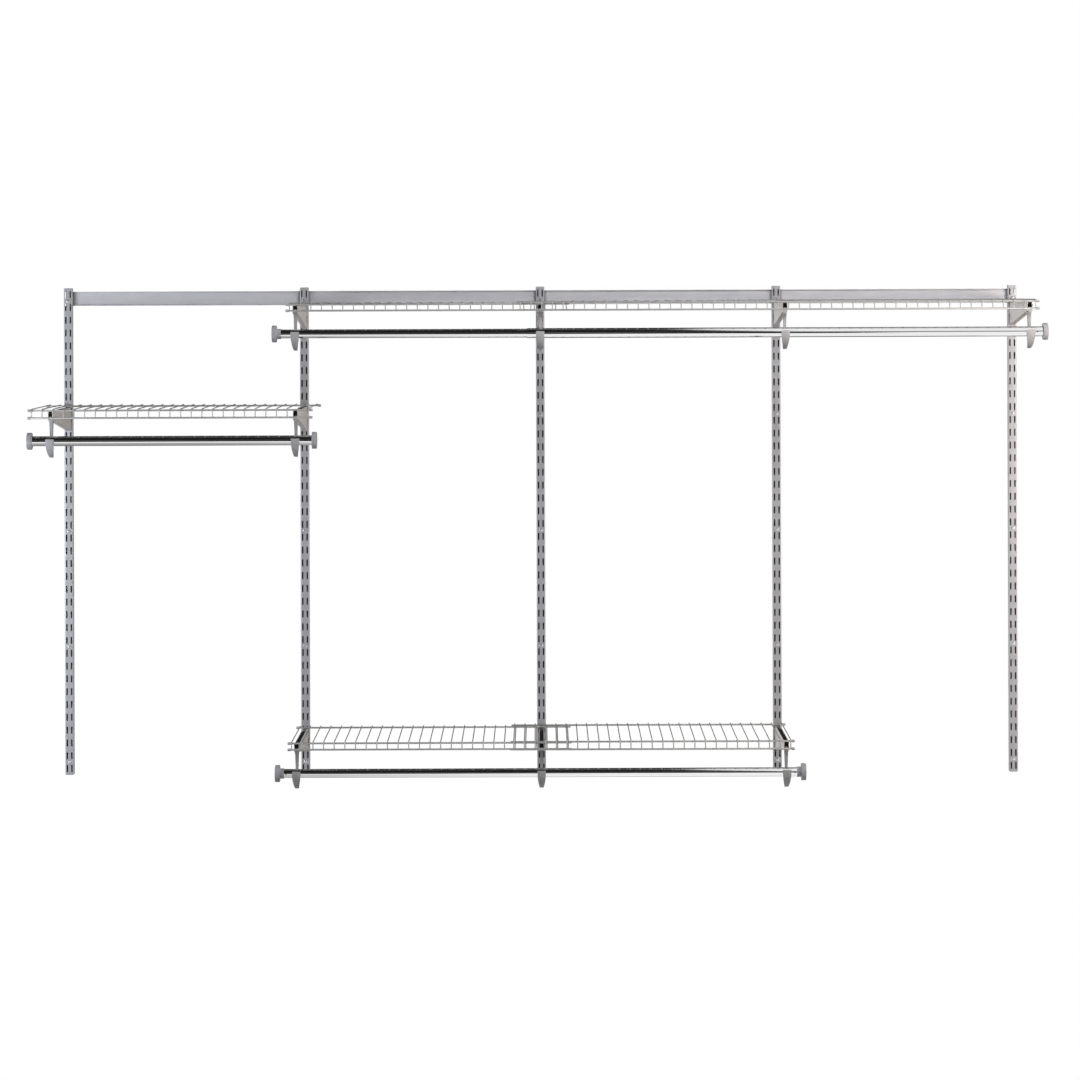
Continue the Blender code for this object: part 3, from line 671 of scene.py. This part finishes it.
# %% Folding a bracket
def folded_bracket(node, shelf):
    """A bracket with its middle at X = 0, placed in Y and Z."""
    low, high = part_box(node)
    deck = deck_of(shelf)
    half = (high.x - low.x) / 2
    nose, back = low.y, face_y - SEAT_GAP
    top, bottom = high.z, deck - BRACKET_REAR_DROP
    bpy.ops.mesh.primitive_plane_add(
        size=1, location=(half, (nose + back) / 2, (top + bottom) / 2), rotation=(0, math.pi / 2, 0))
    plate = bpy.context.object
    plate.scale = (top - bottom, back - nose, 1)
    settle(plate)
    floor_end = nose + FLOOR_END_BACK
    tab_ends = []
    for middle_z in TAB_MIDDLES:
        tab_low = deck + middle_z - SLOT_HEIGHT / 2 + SEAT_GAP
        tab_ends += [tab_low, tab_low + TAB_HEIGHT]
    with editing(plate):
        pick(plate, "VERT", lambda middle, vert: near(middle.y, nose) and near(middle.z, bottom))
        bpy.ops.transform.translate(value=(0, 0, BRACKET_REAR_DROP - BRACKET_NOSE_DROP))
        cuts = [((0, 0, z), (0, 0, 1)) for z in tab_ends] + [((0, floor_end, 0), (0, 1, 0))]
        for place, normal in cuts:
            bpy.ops.mesh.select_all(action="SELECT")
            bpy.ops.mesh.bisect(plane_co=place, plane_no=normal)
        for tab_low, tab_high in zip(tab_ends[::2], tab_ends[1::2]):
            middle_z = (tab_low + tab_high) / 2
            pick(plate, "EDGE", lambda middle, edge: near(middle.y, back) and near(middle.z, middle_z))
            push(y=SEAT_GAP + UPRIGHT_SHEET + SEAT_GAP)
            push(y=TAB_LIP_THICKNESS)
            lip_y = back + SEAT_GAP + UPRIGHT_SHEET + SEAT_GAP + TAB_LIP_THICKNESS / 2
            pick(plate, "EDGE", lambda middle, edge: near(middle.y, lip_y) and near(middle.z, tab_low))
            push(z=-TAB_LIP_DROP)
    return plate, half, floor_end


# %% Folding the bracket's floor
def fold_floor(plate, half, floor_end, nose, deck):
    """Grows the floor from the plate's sloping edge, mirrors the plate and rounds the fold."""

    def on_slope(middle):
        return near(middle.z, slope_z(middle.y, nose, deck), SLOPE_REACH)

    with editing(plate):
        pick(plate, "EDGE", lambda middle, edge: on_slope(middle) and floor_end < middle.y < face_y)
        push(x=-half)
    apply_step(plate, "MIRROR", use_axis=(True, False, False), merge_threshold=MIRROR_MERGE)
    with editing(plate):
        pick(
            plate, "EDGE",
            lambda middle, edge: near(abs(middle.x), half) and on_slope(middle)
            and len(edge.link_faces) == 2,
        )
        bpy.ops.mesh.bevel(offset=BRACKET_FOLD, segments=4)
        bpy.ops.mesh.select_all(action="SELECT")
        bpy.ops.mesh.normals_make_consistent(inside=False)
    wall = max(plate.data.polygons, key=lambda face: face.center.x)
    if wall.normal.x < 0:
        with editing(plate):
            bpy.ops.mesh.select_all(action="SELECT")
            bpy.ops.mesh.flip_normals()
    apply_step(plate, "SOLIDIFY", thickness=BRACKET_SHEET, offset=-1, use_even_offset=True)


# %% [markdown]
# The liner is a black strip that keeps the two plates apart, with a thicker block in the nose. The
# block's lower face has an inverted V, in which the peaked head of the rod hook sits. It is a box
# whose front part is pulled down, cut in two along its middle so that the V's ridge can be raised.

# %% Liners
HOOK_EAVE_HEIGHT = 0.0065
HOOK_ROOF_RISE = 0.004
LINER_DEPTH = 0.006
LINER_BLOCK_LENGTH = 0.032
LINER_EASE = 0.0004


def moulded_liner(node):
    """A liner with its middle at X = 0, placed in Y and Z."""
    low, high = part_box(node)
    half = (high.x - low.x) / 2
    block_end = low.y + LINER_BLOCK_LENGTH
    strip_low = high.z - LINER_DEPTH
    liner = block((-half, low.y, strip_low), (half, high.y, high.z), "liner")
    with editing(liner):
        bpy.ops.mesh.select_all(action="SELECT")
        bpy.ops.mesh.bisect(plane_co=(0, block_end, 0), plane_no=(0, 1, 0))
        pick(liner, "FACE", lambda middle, face: face.normal.z < -0.5 and middle.y < block_end)
        push(z=low.z - strip_low)
        bpy.ops.mesh.select_all(action="SELECT")
        bpy.ops.mesh.bisect(plane_co=(0, 0, 0), plane_no=(1, 0, 0))
        pick(liner, "VERT", lambda middle, vert: near(middle.x, 0) and near(middle.z, low.z))
        bpy.ops.transform.translate(value=(0, 0, HOOK_ROOF_RISE))
    round_edges(liner, LINER_EASE)
    return smoothed(liner)


# %% [markdown]
# The rod hook is a moulding with three jobs: a peaked head held in the bracket, a stem, and a deep
# cradle under the rod with a tongue in front. A sculptor would start from a block and cut: an
# elliptical cylinder gives the keel, the rod's own cylinder gives the cradle, and a plan that narrows
# to the back makes the tongue in front the widest part. The tapered stem and the head are joined on.

# %% Rod hook sizes
ROD_DIAMETER = 0.0238
HOOK_HEAD_BACK = 0.006
HOOK_HEAD_FRONT_GAP = 0.0015
HOOK_STEM_DEPTH = 0.0125
HOOK_STEM_TOP_WIDTH = 0.0088
HOOK_STEM_LOW_WIDTH = 0.0056
HOOK_RIM = 0.0035
HOOK_RIM_RISE = 0.005
HOOK_KEEL_DROP = 0.0405
HOOK_NIB = 0.0034
HOOK_NIB_HEIGHT = 0.0037
HOOK_EASE = 0.00045
KEEL_SIDES = 72
CRADLE_SIDES = 48
# Widths of the plan from the stem's back (0) to the rim's front (1), as shares of the whole
PLAN_WIDTH_SHARES = ((0.3, 0.45), (0.48, 0.54), (0.63, 0.635), (0.78, 0.76), (0.9, 0.89))
PLAN_BACK_SHARE = 0.385


# %% Cutting a rod hook's cradle
def hook_body(low, high, rod_y, rod_z, stem_top):
    """Stem, cradle and keel of a rod hook, with its middle at X = 0."""
    half = (high.x - low.x) / 2
    cradle = ROD_DIAMETER / 2 + SEAT_GAP
    stem_front = rod_y + cradle
    stem_back = stem_front + HOOK_STEM_DEPTH
    rim_front = rod_y - cradle - HOOK_RIM
    rim_top = rod_z + HOOK_RIM_RISE
    body = block((-half, rim_front, rod_z - HOOK_KEEL_DROP), (half, stem_back, rim_top), "hook")
    keel = turned(1, (-half * 2, stem_back, rim_top), (half * 2, stem_back, rim_top), "X", KEEL_SIDES)
    with editing(keel):
        bpy.ops.mesh.select_all(action="SELECT")
        bpy.ops.transform.resize(
            value=(1, stem_back - rim_front, HOOK_KEEL_DROP + HOOK_RIM_RISE),
            center_override=(0, stem_back, rim_top),
        )
    combine(body, keel, "INTERSECT")
    rod = turned(cradle, (-half * 2, rod_y, rod_z), (half * 2, rod_y, rod_z), "X", CRADLE_SIDES)
    combine(body, rod, "DIFFERENCE")
    mouth = block((-half * 2, rod_y - cradle, rod_z), (half * 2, stem_front, rim_top + CUT), "mouth")
    combine(body, mouth, "DIFFERENCE")
    plan = block((-half, rim_front - CUT, low.z - CUT), (half, stem_back + CUT, stem_top + CUT), "plan")
    widths = [(stem_back + (rim_front - stem_back) * share, width) for share, width in PLAN_WIDTH_SHARES]
    with editing(plan):
        for y, width in widths:
            bpy.ops.mesh.select_all(action="SELECT")
            bpy.ops.mesh.bisect(plane_co=(0, y, 0), plane_no=(0, 1, 0))
        for y, width in widths + [(stem_back + CUT, PLAN_BACK_SHARE)]:
            pick(plan, "VERT", lambda middle, vert: near(middle.y, y))
            bpy.ops.transform.resize(value=(width, 1, 1))
    combine(body, plan, "INTERSECT")
    stem = block(
        (-HOOK_STEM_TOP_WIDTH / 2, stem_front, rod_z),
        (HOOK_STEM_TOP_WIDTH / 2, stem_back, stem_top), "stem")
    with editing(stem):
        pick(stem, "FACE", lambda middle, face: face.normal.z < -0.5)
        bpy.ops.transform.resize(value=(HOOK_STEM_LOW_WIDTH / HOOK_STEM_TOP_WIDTH, 1, 1))
    combine(body, stem, "UNION")
    return body, stem_back


# %% Joining the hook's head
def moulded_hook(node, shelf):
    """A rod hook with its middle at X = 0, placed in Y and Z."""
    low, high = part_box(node)
    deck = deck_of(shelf)
    bracket_low, bracket_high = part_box(node.replace("rod_hook", "bracket"))
    liner_low, liner_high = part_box(node.replace("rod_hook", "liner"))
    nose = bracket_low.y
    rod_y = low.y + HOOK_RIM + SEAT_GAP + ROD_DIAMETER / 2
    rod_z = low.z + HOOK_KEEL_DROP
    stem_back = rod_y + ROD_DIAMETER / 2 + SEAT_GAP + HOOK_STEM_DEPTH
    stem_top = slope_z(stem_back, nose, deck) - SEAT_GAP
    body, stem_back = hook_body(low, high, rod_y, rod_z, stem_top)
    half = (liner_high.x - liner_low.x) / 2
    eave = deck - BRACKET_NOSE_DROP + HOOK_EAVE_HEIGHT
    head = block(
        (-half, nose + HOOK_HEAD_FRONT_GAP, stem_top - CUT),
        (half, stem_back + HOOK_HEAD_BACK, eave), "head")
    with editing(head):
        bpy.ops.mesh.select_all(action="SELECT")
        bpy.ops.mesh.bisect(plane_co=(0, 0, 0), plane_no=(1, 0, 0))
        pick(head, "VERT", lambda middle, vert: near(middle.x, 0) and near(middle.z, eave))
        bpy.ops.transform.translate(value=(0, 0, HOOK_ROOF_RISE))
    combine(body, head, "UNION")
    round_edges(body, HOOK_EASE, degrees=50)
    reach, nib = (bracket_high.x - bracket_low.x) / 2, HOOK_NIB / 2
    nib_y = (nose + HOOK_HEAD_FRONT_GAP + stem_back + HOOK_HEAD_BACK) / 2
    nib_z = deck - BRACKET_NOSE_DROP + HOOK_NIB_HEIGHT
    nibs = block((-reach, nib_y - nib, nib_z - nib), (reach, nib_y + nib, nib_z + nib), "nibs")
    combine(body, nibs, "UNION")
    return smoothed(body), (nib_y, nib_z)


# %% [markdown]
# Brackets, liners and hooks come in two kinds: where an inner shelf section crosses a bracket, the
# bracket's top is one wire lower. Each kind is made once, and then copied to every place that needs it.

# %% Making one kind of bracket
def bracket_set(shelf, number):
    """The bracket, liner and hook of one kind, with their middle at X = 0."""
    node = f"bracket_{shelf}_{number}"
    deck = deck_of(shelf)
    plate, half, floor_end = folded_bracket(node, shelf)
    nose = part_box(node)[0].y
    fold_floor(plate, half, floor_end, nose, deck)
    hook, (nib_y, nib_z) = moulded_hook(f"rod_hook_{shelf}_{number}", shelf)
    size = HOOK_NIB / 2 + SEAT_GAP
    window = block((-2 * half, nib_y - size, nib_z - size), (2 * half, nib_y + size, nib_z + size))
    combine(plate, window, "DIFFERENCE")
    round_edges(plate, EDGE_EASE, segments=1, degrees=60)
    return smoothed(plate), moulded_liner(f"liner_{shelf}_{number}"), hook


# %% Placing brackets, liners and hooks
BRACKET_PLACES = {"left": (1, 2), "top": (2, 3, 4, 5), "lower": (2, 3, 4)}

kinds = {}
for shelf, numbers in BRACKET_PLACES.items():
    for number in numbers:
        node = f"bracket_{shelf}_{number}"
        low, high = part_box(node)
        kind = round(deck_of(shelf) - high.z, 5)
        if kind not in kinds:
            kinds[kind] = (bracket_set(shelf, number), deck_of(shelf))
        (plate, liner, hook), made_at = kinds[kind]
        offset = ((low.x + high.x) / 2, 0, deck_of(shelf) - made_at)
        dress(copied(plate, f"{node}_folded", offset), bracket_coat, [node])
        liner_node, hook_node = f"liner_{shelf}_{number}", f"rod_hook_{shelf}_{number}"
        dress(copied(liner, f"{liner_node}_moulded", offset), liner_moulding, [liner_node])
        dress(copied(hook, f"{hook_node}_moulded", offset), hook_moulding, [hook_node])
for pieces, made_at in kinds.values():
    for piece in pieces:
        bpy.data.objects.remove(piece)
print("Kinds of bracket:", len(kinds))

# %% [markdown]
# A wire shelf is a row of bent cross wires welded on three long wires. One cross wire is a circle of
# eight points, drawn forward, spun through the bend, and drawn down to the foot wire. An array
# repeats it at the section's own pitch, which is close to an inch.

# %% Wire sizes
WIRE_PITCH = 0.0254
CROSS_WIRE = 0.0028
LONG_WIRE = 0.0044
WIRE_STUB = 0.003
WIRE_END = 0.008
WIRE_BEND = 0.0042
WELD_SINK = 0.0003
LONG_WIRE_EASE = LONG_WIRE / 8
LONG_WIRE_SIDES = 12
CROSS_WIRE_SIDES = 8
BEND_STEPS = 5


# %% Bending the wires
def cross_wire(x, back, lip_y, top, foot):
    """One cross wire, from the back over the bend to the foot wire."""
    radius = CROSS_WIRE / 2
    axis_z = top - radius
    bpy.ops.mesh.primitive_circle_add(
        vertices=CROSS_WIRE_SIDES, radius=radius, fill_type="NOTHING",
        location=(x, back, axis_z), rotation=ALONG["Y"],
    )
    wire = settle(bpy.context.object)
    with editing(wire):
        bpy.ops.mesh.select_mode(type="EDGE")
        bpy.ops.mesh.select_all(action="SELECT")
        push(y=lip_y + WIRE_BEND - back)
        bpy.ops.mesh.spin(
            steps=BEND_STEPS, angle=-math.pi / 2,
            center=(x, lip_y + WIRE_BEND, axis_z - WIRE_BEND), axis=(1, 0, 0),
        )
        push(z=foot - axis_z + WIRE_BEND)
        bpy.ops.mesh.select_all(action="SELECT")
        bpy.ops.mesh.fill_holes(sides=CROSS_WIRE_SIDES)
        bpy.ops.mesh.normals_make_consistent(inside=False)
    return wire


def long_wire(left, right, y, z):
    """A long wire with slightly eased ends."""
    wire = turned(LONG_WIRE / 2, (left, y, z), (right, y, z), "X", LONG_WIRE_SIDES)
    with editing(wire):
        pick(wire, "FACE", lambda middle, face: abs(face.normal.x) > 0.9)
        bpy.ops.mesh.bevel(offset=LONG_WIRE_EASE, segments=2)
    return wire


# %% [markdown]
# The long wires end in soft vinyl tips, so that nobody is scratched. Each is a short cylinder with one
# round end. All wires of a section are then joined to one piece, and its tips to another.

# %% Wire tips
TIP_DIAMETER = 0.0066
TIP_LENGTH = 0.008
TIP_PAST_WIRE = 0.002
TIP_ROUND = TIP_DIAMETER / 4
TIP_EASE = TIP_DIAMETER / 14
TIP_SIDES = 16


def wire_tip(x, side, y, z):
    """Soft tip on a long wire's end, rounded at its outer end."""
    outer = x + side * TIP_PAST_WIRE
    tip = turned(TIP_DIAMETER / 2, (outer - side * TIP_LENGTH, y, z), (outer, y, z), "X", TIP_SIDES)
    with editing(tip):
        pick(tip, "FACE", lambda middle, face: face.normal.x * side > 0.9)
        bpy.ops.mesh.bevel(offset=TIP_ROUND, segments=3)
        pick(tip, "FACE", lambda middle, face: face.normal.x * side < -0.9)
        bpy.ops.mesh.bevel(offset=TIP_EASE, segments=2)
    return tip


# %% Welding the shelves
TIPPED_ENDS = {
    "shelf_left": (-1, 1), "shelf_top_inner": (-1,), "shelf_top_outer": (1,),
    "shelf_lower_inner": (-1,), "shelf_lower_outer": (1,),
}

for node, tipped in TIPPED_ENDS.items():
    low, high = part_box(node)
    radius = LONG_WIRE / 2
    lip_y = low.y + radius
    under = high.z - CROSS_WIRE - radius + WELD_SINK
    lines = [
        (high.y - WIRE_STUB - radius, under),
        (lip_y + CROSS_WIRE / 2 + radius - WELD_SINK, under),
        (lip_y, low.z + radius),
    ]
    span = high.x - low.x - 2 * WIRE_END
    spaces = round(span / WIRE_PITCH)
    wires = cross_wire(low.x + WIRE_END, high.y, lip_y, high.z, low.z + radius)
    apply_step(
        wires, "ARRAY", count=spaces + 1, use_relative_offset=False,
        use_constant_offset=True, constant_offset_displace=(span / spaces, 0, 0),
    )
    parts = [wires] + [long_wire(low.x, high.x, y, z) for y, z in lines]
    shelf = smoothed(gathered(parts, f"{node}_welded"), degrees=50)
    dress(shelf, wire_coat, [node])
    ends = [(low.x if side < 0 else high.x, side) for side in tipped]
    tips = [wire_tip(x, side, y, z) for x, side in ends for y, z in lines]
    dress(smoothed(gathered(tips, f"{node}_tips")), tip_vinyl, body=body_of[node])
    print(node, "has", spaces + 1, "cross wires and", len(tips), "tips")

# %% [markdown]
# A rod is a thin chromed tube. Its cylinder has many sides, because a mirror shows every facet. The
# wall is added inwards, and small holes are drilled near the ends.

# %% Rods
ROD_WALL = 0.0009
ROD_SIDES = 96
DRILL_SIDES = 24
ROD_HOLE = 0.0036
ROD_HOLE_INSET = 0.0112
CAP_SOCKET_DEPTH = 0.0075
CAP_HOLE_INSET = 0.0152
cap_hole = CAP_SOCKET_DEPTH - SEAT_GAP + CAP_HOLE_INSET
ROD_HOLES = {
    "rod_left": (cap_hole, cap_hole), "rod_lower": (cap_hole, cap_hole),
    "rod_top_outer": (ROD_HOLE_INSET, cap_hole), "rod_top_inner": (),
}

for node, insets in ROD_HOLES.items():
    low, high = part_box(node)
    middle = (low + high) / 2
    radius = (high.z - low.z) / 2
    ends = (low.x, middle.y, middle.z), (high.x, middle.y, middle.z)
    rod = turned(radius, *ends, "X", ROD_SIDES, "NOTHING")
    rod.name = f"{node}_tube"
    apply_step(rod, "SOLIDIFY", thickness=ROD_WALL, offset=-1, use_even_offset=True)
    for x in [low.x + inset for inset in insets[:1]] + [high.x - inset for inset in insets[1:]]:
        drill = turned(ROD_HOLE / 2, (x, low.y - CUT, middle.z), (x, middle.y, middle.z), "Y", DRILL_SIDES)
        combine(rod, drill, "DIFFERENCE")
    dress(smoothed(rod, degrees=30), rod_chrome, [node])
    print(node, "is", round(2 * radius * 1000, 1), "mm thick")

# %% [markdown]
# The end caps are turned mouldings: a disc with eased edges and a socket for the rod. The caps of the
# thin tubes also have a neck around the tube. Inset and extrude on the inner face make both.

# %% End caps
CAP_LENGTH = 0.0112
CAP_RADIUS = 0.02025
CAP_EDGE = 0.0016
CAP_EASE = 0.0003
CAP_SIDES = 64
CAP_NECK_LENGTH = 0.0102
CAP_NECK_WALL = 0.0013
CAP_ENDS = {
    "cap_left_a": ("rod_left", -1), "cap_left_b": ("rod_left", 1), "cap_lower_a": ("rod_lower", -1),
    "cap_lower_b": ("rod_lower", 1), "cap_top_a": ("rod_top_inner", -1), "cap_top_b": ("rod_top_outer", 1),
}


def cap(node, rod, side):
    """End cap of a rod. Side is -1 at the left end and 1 at the right end."""
    low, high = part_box(node)
    rod_low, rod_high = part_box(rod)
    socket = (rod_high.z - rod_low.z) / 2 + SEAT_GAP
    middle = (low + high) / 2
    outer = high.x if side > 0 else low.x
    inner = outer - side * CAP_LENGTH
    disc = turned(
        CAP_RADIUS, (outer, middle.y, middle.z), (inner, middle.y, middle.z), "X", CAP_SIDES)
    with editing(disc):
        pick(disc, "FACE", lambda centre, face: face.normal.x * side > 0.9)
        bpy.ops.mesh.bevel(offset=CAP_EDGE, segments=4)
        pick(disc, "FACE", lambda centre, face: face.normal.x * side < -0.9)
        if high.x - low.x > CAP_LENGTH + SEAT_GAP:
            bpy.ops.mesh.inset(thickness=CAP_RADIUS - socket - CAP_NECK_WALL)
            push(x=-side * CAP_NECK_LENGTH)
            bpy.ops.mesh.inset(thickness=CAP_NECK_WALL)
            push(x=side * (CAP_NECK_LENGTH + CAP_SOCKET_DEPTH))
        else:
            bpy.ops.mesh.inset(thickness=CAP_RADIUS - socket)
            push(x=side * CAP_SOCKET_DEPTH)
    round_edges(disc, CAP_EASE, degrees=50)
    disc.name = f"{node}_moulded"
    return smoothed(disc)


for node, (rod, side) in CAP_ENDS.items():
    dress(cap(node, rod, side), cap_moulding, [node])
print("Caps:", len(CAP_ENDS))

# %% [markdown]
# The studio's floor is pale and lies two metres below the rail. Part of what the camera sees of it is
# paint, which takes a shadow, and the rest glows white. In mirrors all of it glows, which makes the
# rods' lower halves bright. There it is greyer at the left near the wall, as the real rods show.

# %% Floor
FLOOR_DROP = 2.1
FLOOR_BACK = 0.45
FLOOR_FRONT = -5.3
FLOOR_HALF_WIDTH = 8
FLOOR_COLOUR = (0.86, 0.86, 0.86, 1)
FLOOR_ROUGHNESS = 0.8
FLOOR_GLOW_SHARE = 0.7
FLOOR_DIM_TONE = 0.4
FLOOR_DIM_DEPTHS = (-2.8, -1.4)
FLOOR_DIM_PLACES = (-1.1, 0.2)

bpy.ops.mesh.primitive_plane_add(size=1, location=(0, (FLOOR_BACK + FLOOR_FRONT) / 2, -FLOOR_DROP))
floor = bpy.context.object
floor.name = "floor"
floor.scale = (2 * FLOOR_HALF_WIDTH, FLOOR_BACK - FLOOR_FRONT, 1)
settle(floor)
floor_paint = bpy.data.materials.new("floor_paint")
floor_paint.use_nodes = True
tree = floor_paint.node_tree
paint = tree.nodes["Principled BSDF"]
paint.inputs["Base Color"].default_value = FLOOR_COLOUR
paint.inputs["Roughness"].default_value = FLOOR_ROUGHNESS
glow, mixed = tree.nodes.new("ShaderNodeEmission"), tree.nodes.new("ShaderNodeMixShader")
seen_by = tree.nodes.new("ShaderNodeLightPath").outputs
x, y, z = place_in(tree)
dimmed = figure("MULTIPLY", ramp(y, *FLOOR_DIM_DEPTHS), ramp(x, *FLOOR_DIM_PLACES, 1, 0))
dimmed = figure("MULTIPLY", dimmed, seen_by["Is Glossy Ray"])
glowing = figure("MULTIPLY_ADD", seen_by["Is Camera Ray"], FLOOR_GLOW_SHARE, seen_by["Is Glossy Ray"])
wire_up(blend(dimmed, 1.0, FLOOR_DIM_TONE), glow.inputs["Color"])
wire_up(glowing, mixed.inputs["Fac"])
wire_up(paint.outputs["BSDF"], mixed.inputs[1])
wire_up(glow.outputs["Emission"], mixed.inputs[2])
wire_up(mixed.outputs["Shader"], tree.nodes["Material Output"].inputs["Surface"])
floor.data.materials.append(floor_paint)
floor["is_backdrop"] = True
print("The floor is", 2 * FLOOR_HALF_WIDTH, "m wide and", FLOOR_DROP, "m down")

# %% [markdown]
# The world is white to the camera and gives the object a little soft light. What the chrome and the
# wires mirror is toned by direction: dark in front with a thin grey horizon, light sides, a slanted
# glow at the right, and behind the object a level band, bright at the left, that is dark above and
# below. A direction's X, Y and Z run from -1 to 1. At the first of a pair of limits one tone starts
# to give way, and at the second it is gone.

# %% Tones of the world
FRONT_TONE = 0.015
HORIZON_TONE = 0.25
HORIZON_HEIGHT = 0.17
HORIZON_EDGE = (0.02, 0.05)
BEHIND_EDGE = (-0.05, 0.2)
BEHIND_LEVEL_TONES = (1.5, 0.2)
BEHIND_LEVEL_EDGE = (-0.08, 0.08)
BEHIND_ABOVE_TONE = 0.04
BEHIND_ABOVE_EDGE = (0.02, 0.1)
BEHIND_BELOW_TONE = 0.1
BEHIND_BELOW_EDGE = (-0.4, -0.2)
SIDE_TONE = 0.7
SIDE_EDGE = (0.5, 0.75)
GLOW_TONE = 0.95
GLOW_SLANT = 20
GLOW_LEFT_EDGE = (1.8, 2.0)
GLOW_RIGHT_EDGE = (0.3, 0.45)
GLOW_GAP_HEIGHT = 0.15
GLOW_GAP_EDGE = (0.12, 0.2)
GLOW_BEHIND_EDGE = (0.1, 0.4)
GLOW_BEHIND_SHARE = 0.2
SOFT_LIGHT = (0.04, 0.04, 0.041, 1)
WHITE = (1, 1, 1, 1)

# %% World
world = bpy.data.worlds.new("studio")
bpy.context.scene.world = world
world.use_nodes = True
x, y, z = place_in(world.node_tree, "Generated")
off_horizon = figure("ABSOLUTE", figure("SUBTRACT", z, HORIZON_HEIGHT))
front = blend(ramp(off_horizon, *HORIZON_EDGE), HORIZON_TONE, FRONT_TONE)
behind = ramp(x, *BEHIND_LEVEL_EDGE, *BEHIND_LEVEL_TONES)
behind = blend(ramp(z, *BEHIND_ABOVE_EDGE), behind, BEHIND_ABOVE_TONE)
behind = blend(ramp(z, *BEHIND_BELOW_EDGE), BEHIND_BELOW_TONE, behind)
mirrored = blend(ramp(y, *BEHIND_EDGE), front, behind)
slanted = ramp(figure("MULTIPLY_ADD", x, GLOW_SLANT, z), *GLOW_LEFT_EDGE)
glow = figure("MULTIPLY", slanted, ramp(x, *GLOW_RIGHT_EDGE, 1, 0))
off_gap = figure("ABSOLUTE", figure("SUBTRACT", z, GLOW_GAP_HEIGHT))
glow = figure("MULTIPLY", glow, ramp(off_gap, *GLOW_GAP_EDGE))
glow = figure("MULTIPLY", glow, ramp(y, *GLOW_BEHIND_EDGE, 1, GLOW_BEHIND_SHARE))
mirrored = blend(glow, mirrored, GLOW_TONE)
mirrored = blend(ramp(figure("ABSOLUTE", x), *SIDE_EDGE), mirrored, SIDE_TONE)
seen_by = world.node_tree.nodes.new("ShaderNodeLightPath").outputs
unseen = blend(seen_by["Is Glossy Ray"], SOFT_LIGHT, mirrored)
wire_up(blend(seen_by["Is Camera Ray"], unseen, WHITE), world.node_tree.nodes["Background"].inputs["Color"])
print("The world's tree has", len(world.node_tree.nodes), "nodes")

# %% [markdown]
# Three soft lamps light the object: a warm one at the right, a cool one at the left and one above
# the rail. The two at the sides show in the chrome and on the wires. The top one is kept out of
# mirrors, where it would draw a bright line along every rod.

# %% Softboxes
def softbox(name, place, aim, size, watts, colour, mirrored=True):
    """A rectangular lamp that faces a point, seen in mirrors or not."""
    bpy.ops.object.light_add(type="AREA", location=place)
    lamp = bpy.context.object
    lamp.name = name
    lamp.data.shape = "RECTANGLE"
    lamp.data.size, lamp.data.size_y = size
    lamp.data.energy = watts
    lamp.data.color = colour
    lamp.rotation_euler = (Vector(aim) - Vector(place)).to_track_quat("-Z", "Y").to_euler()
    lamp.visible_camera = False
    lamp.visible_glossy = mirrored
    print(name, "gives", watts, "W")


softbox(
    "right_softbox", (2.1, -1.35, -0.3), aim=(1.1, 0, -0.4),
    size=(0.8, 0.8), watts=19, colour=(1, 0.9, 0.84))
softbox(
    "left_softbox", (-2.1, -1.15, -0.6), aim=(-1.1, 0, -0.6),
    size=(0.7, 0.7), watts=16, colour=(0.87, 0.91, 1))
softbox(
    "top_softbox", (0.55, -1.6, 1.1), aim=(0.5, 0, 0),
    size=(1.4, 0.6), watts=34, colour=(0.97, 0.96, 1), mirrored=False)

# %% Measure and finish
low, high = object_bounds()
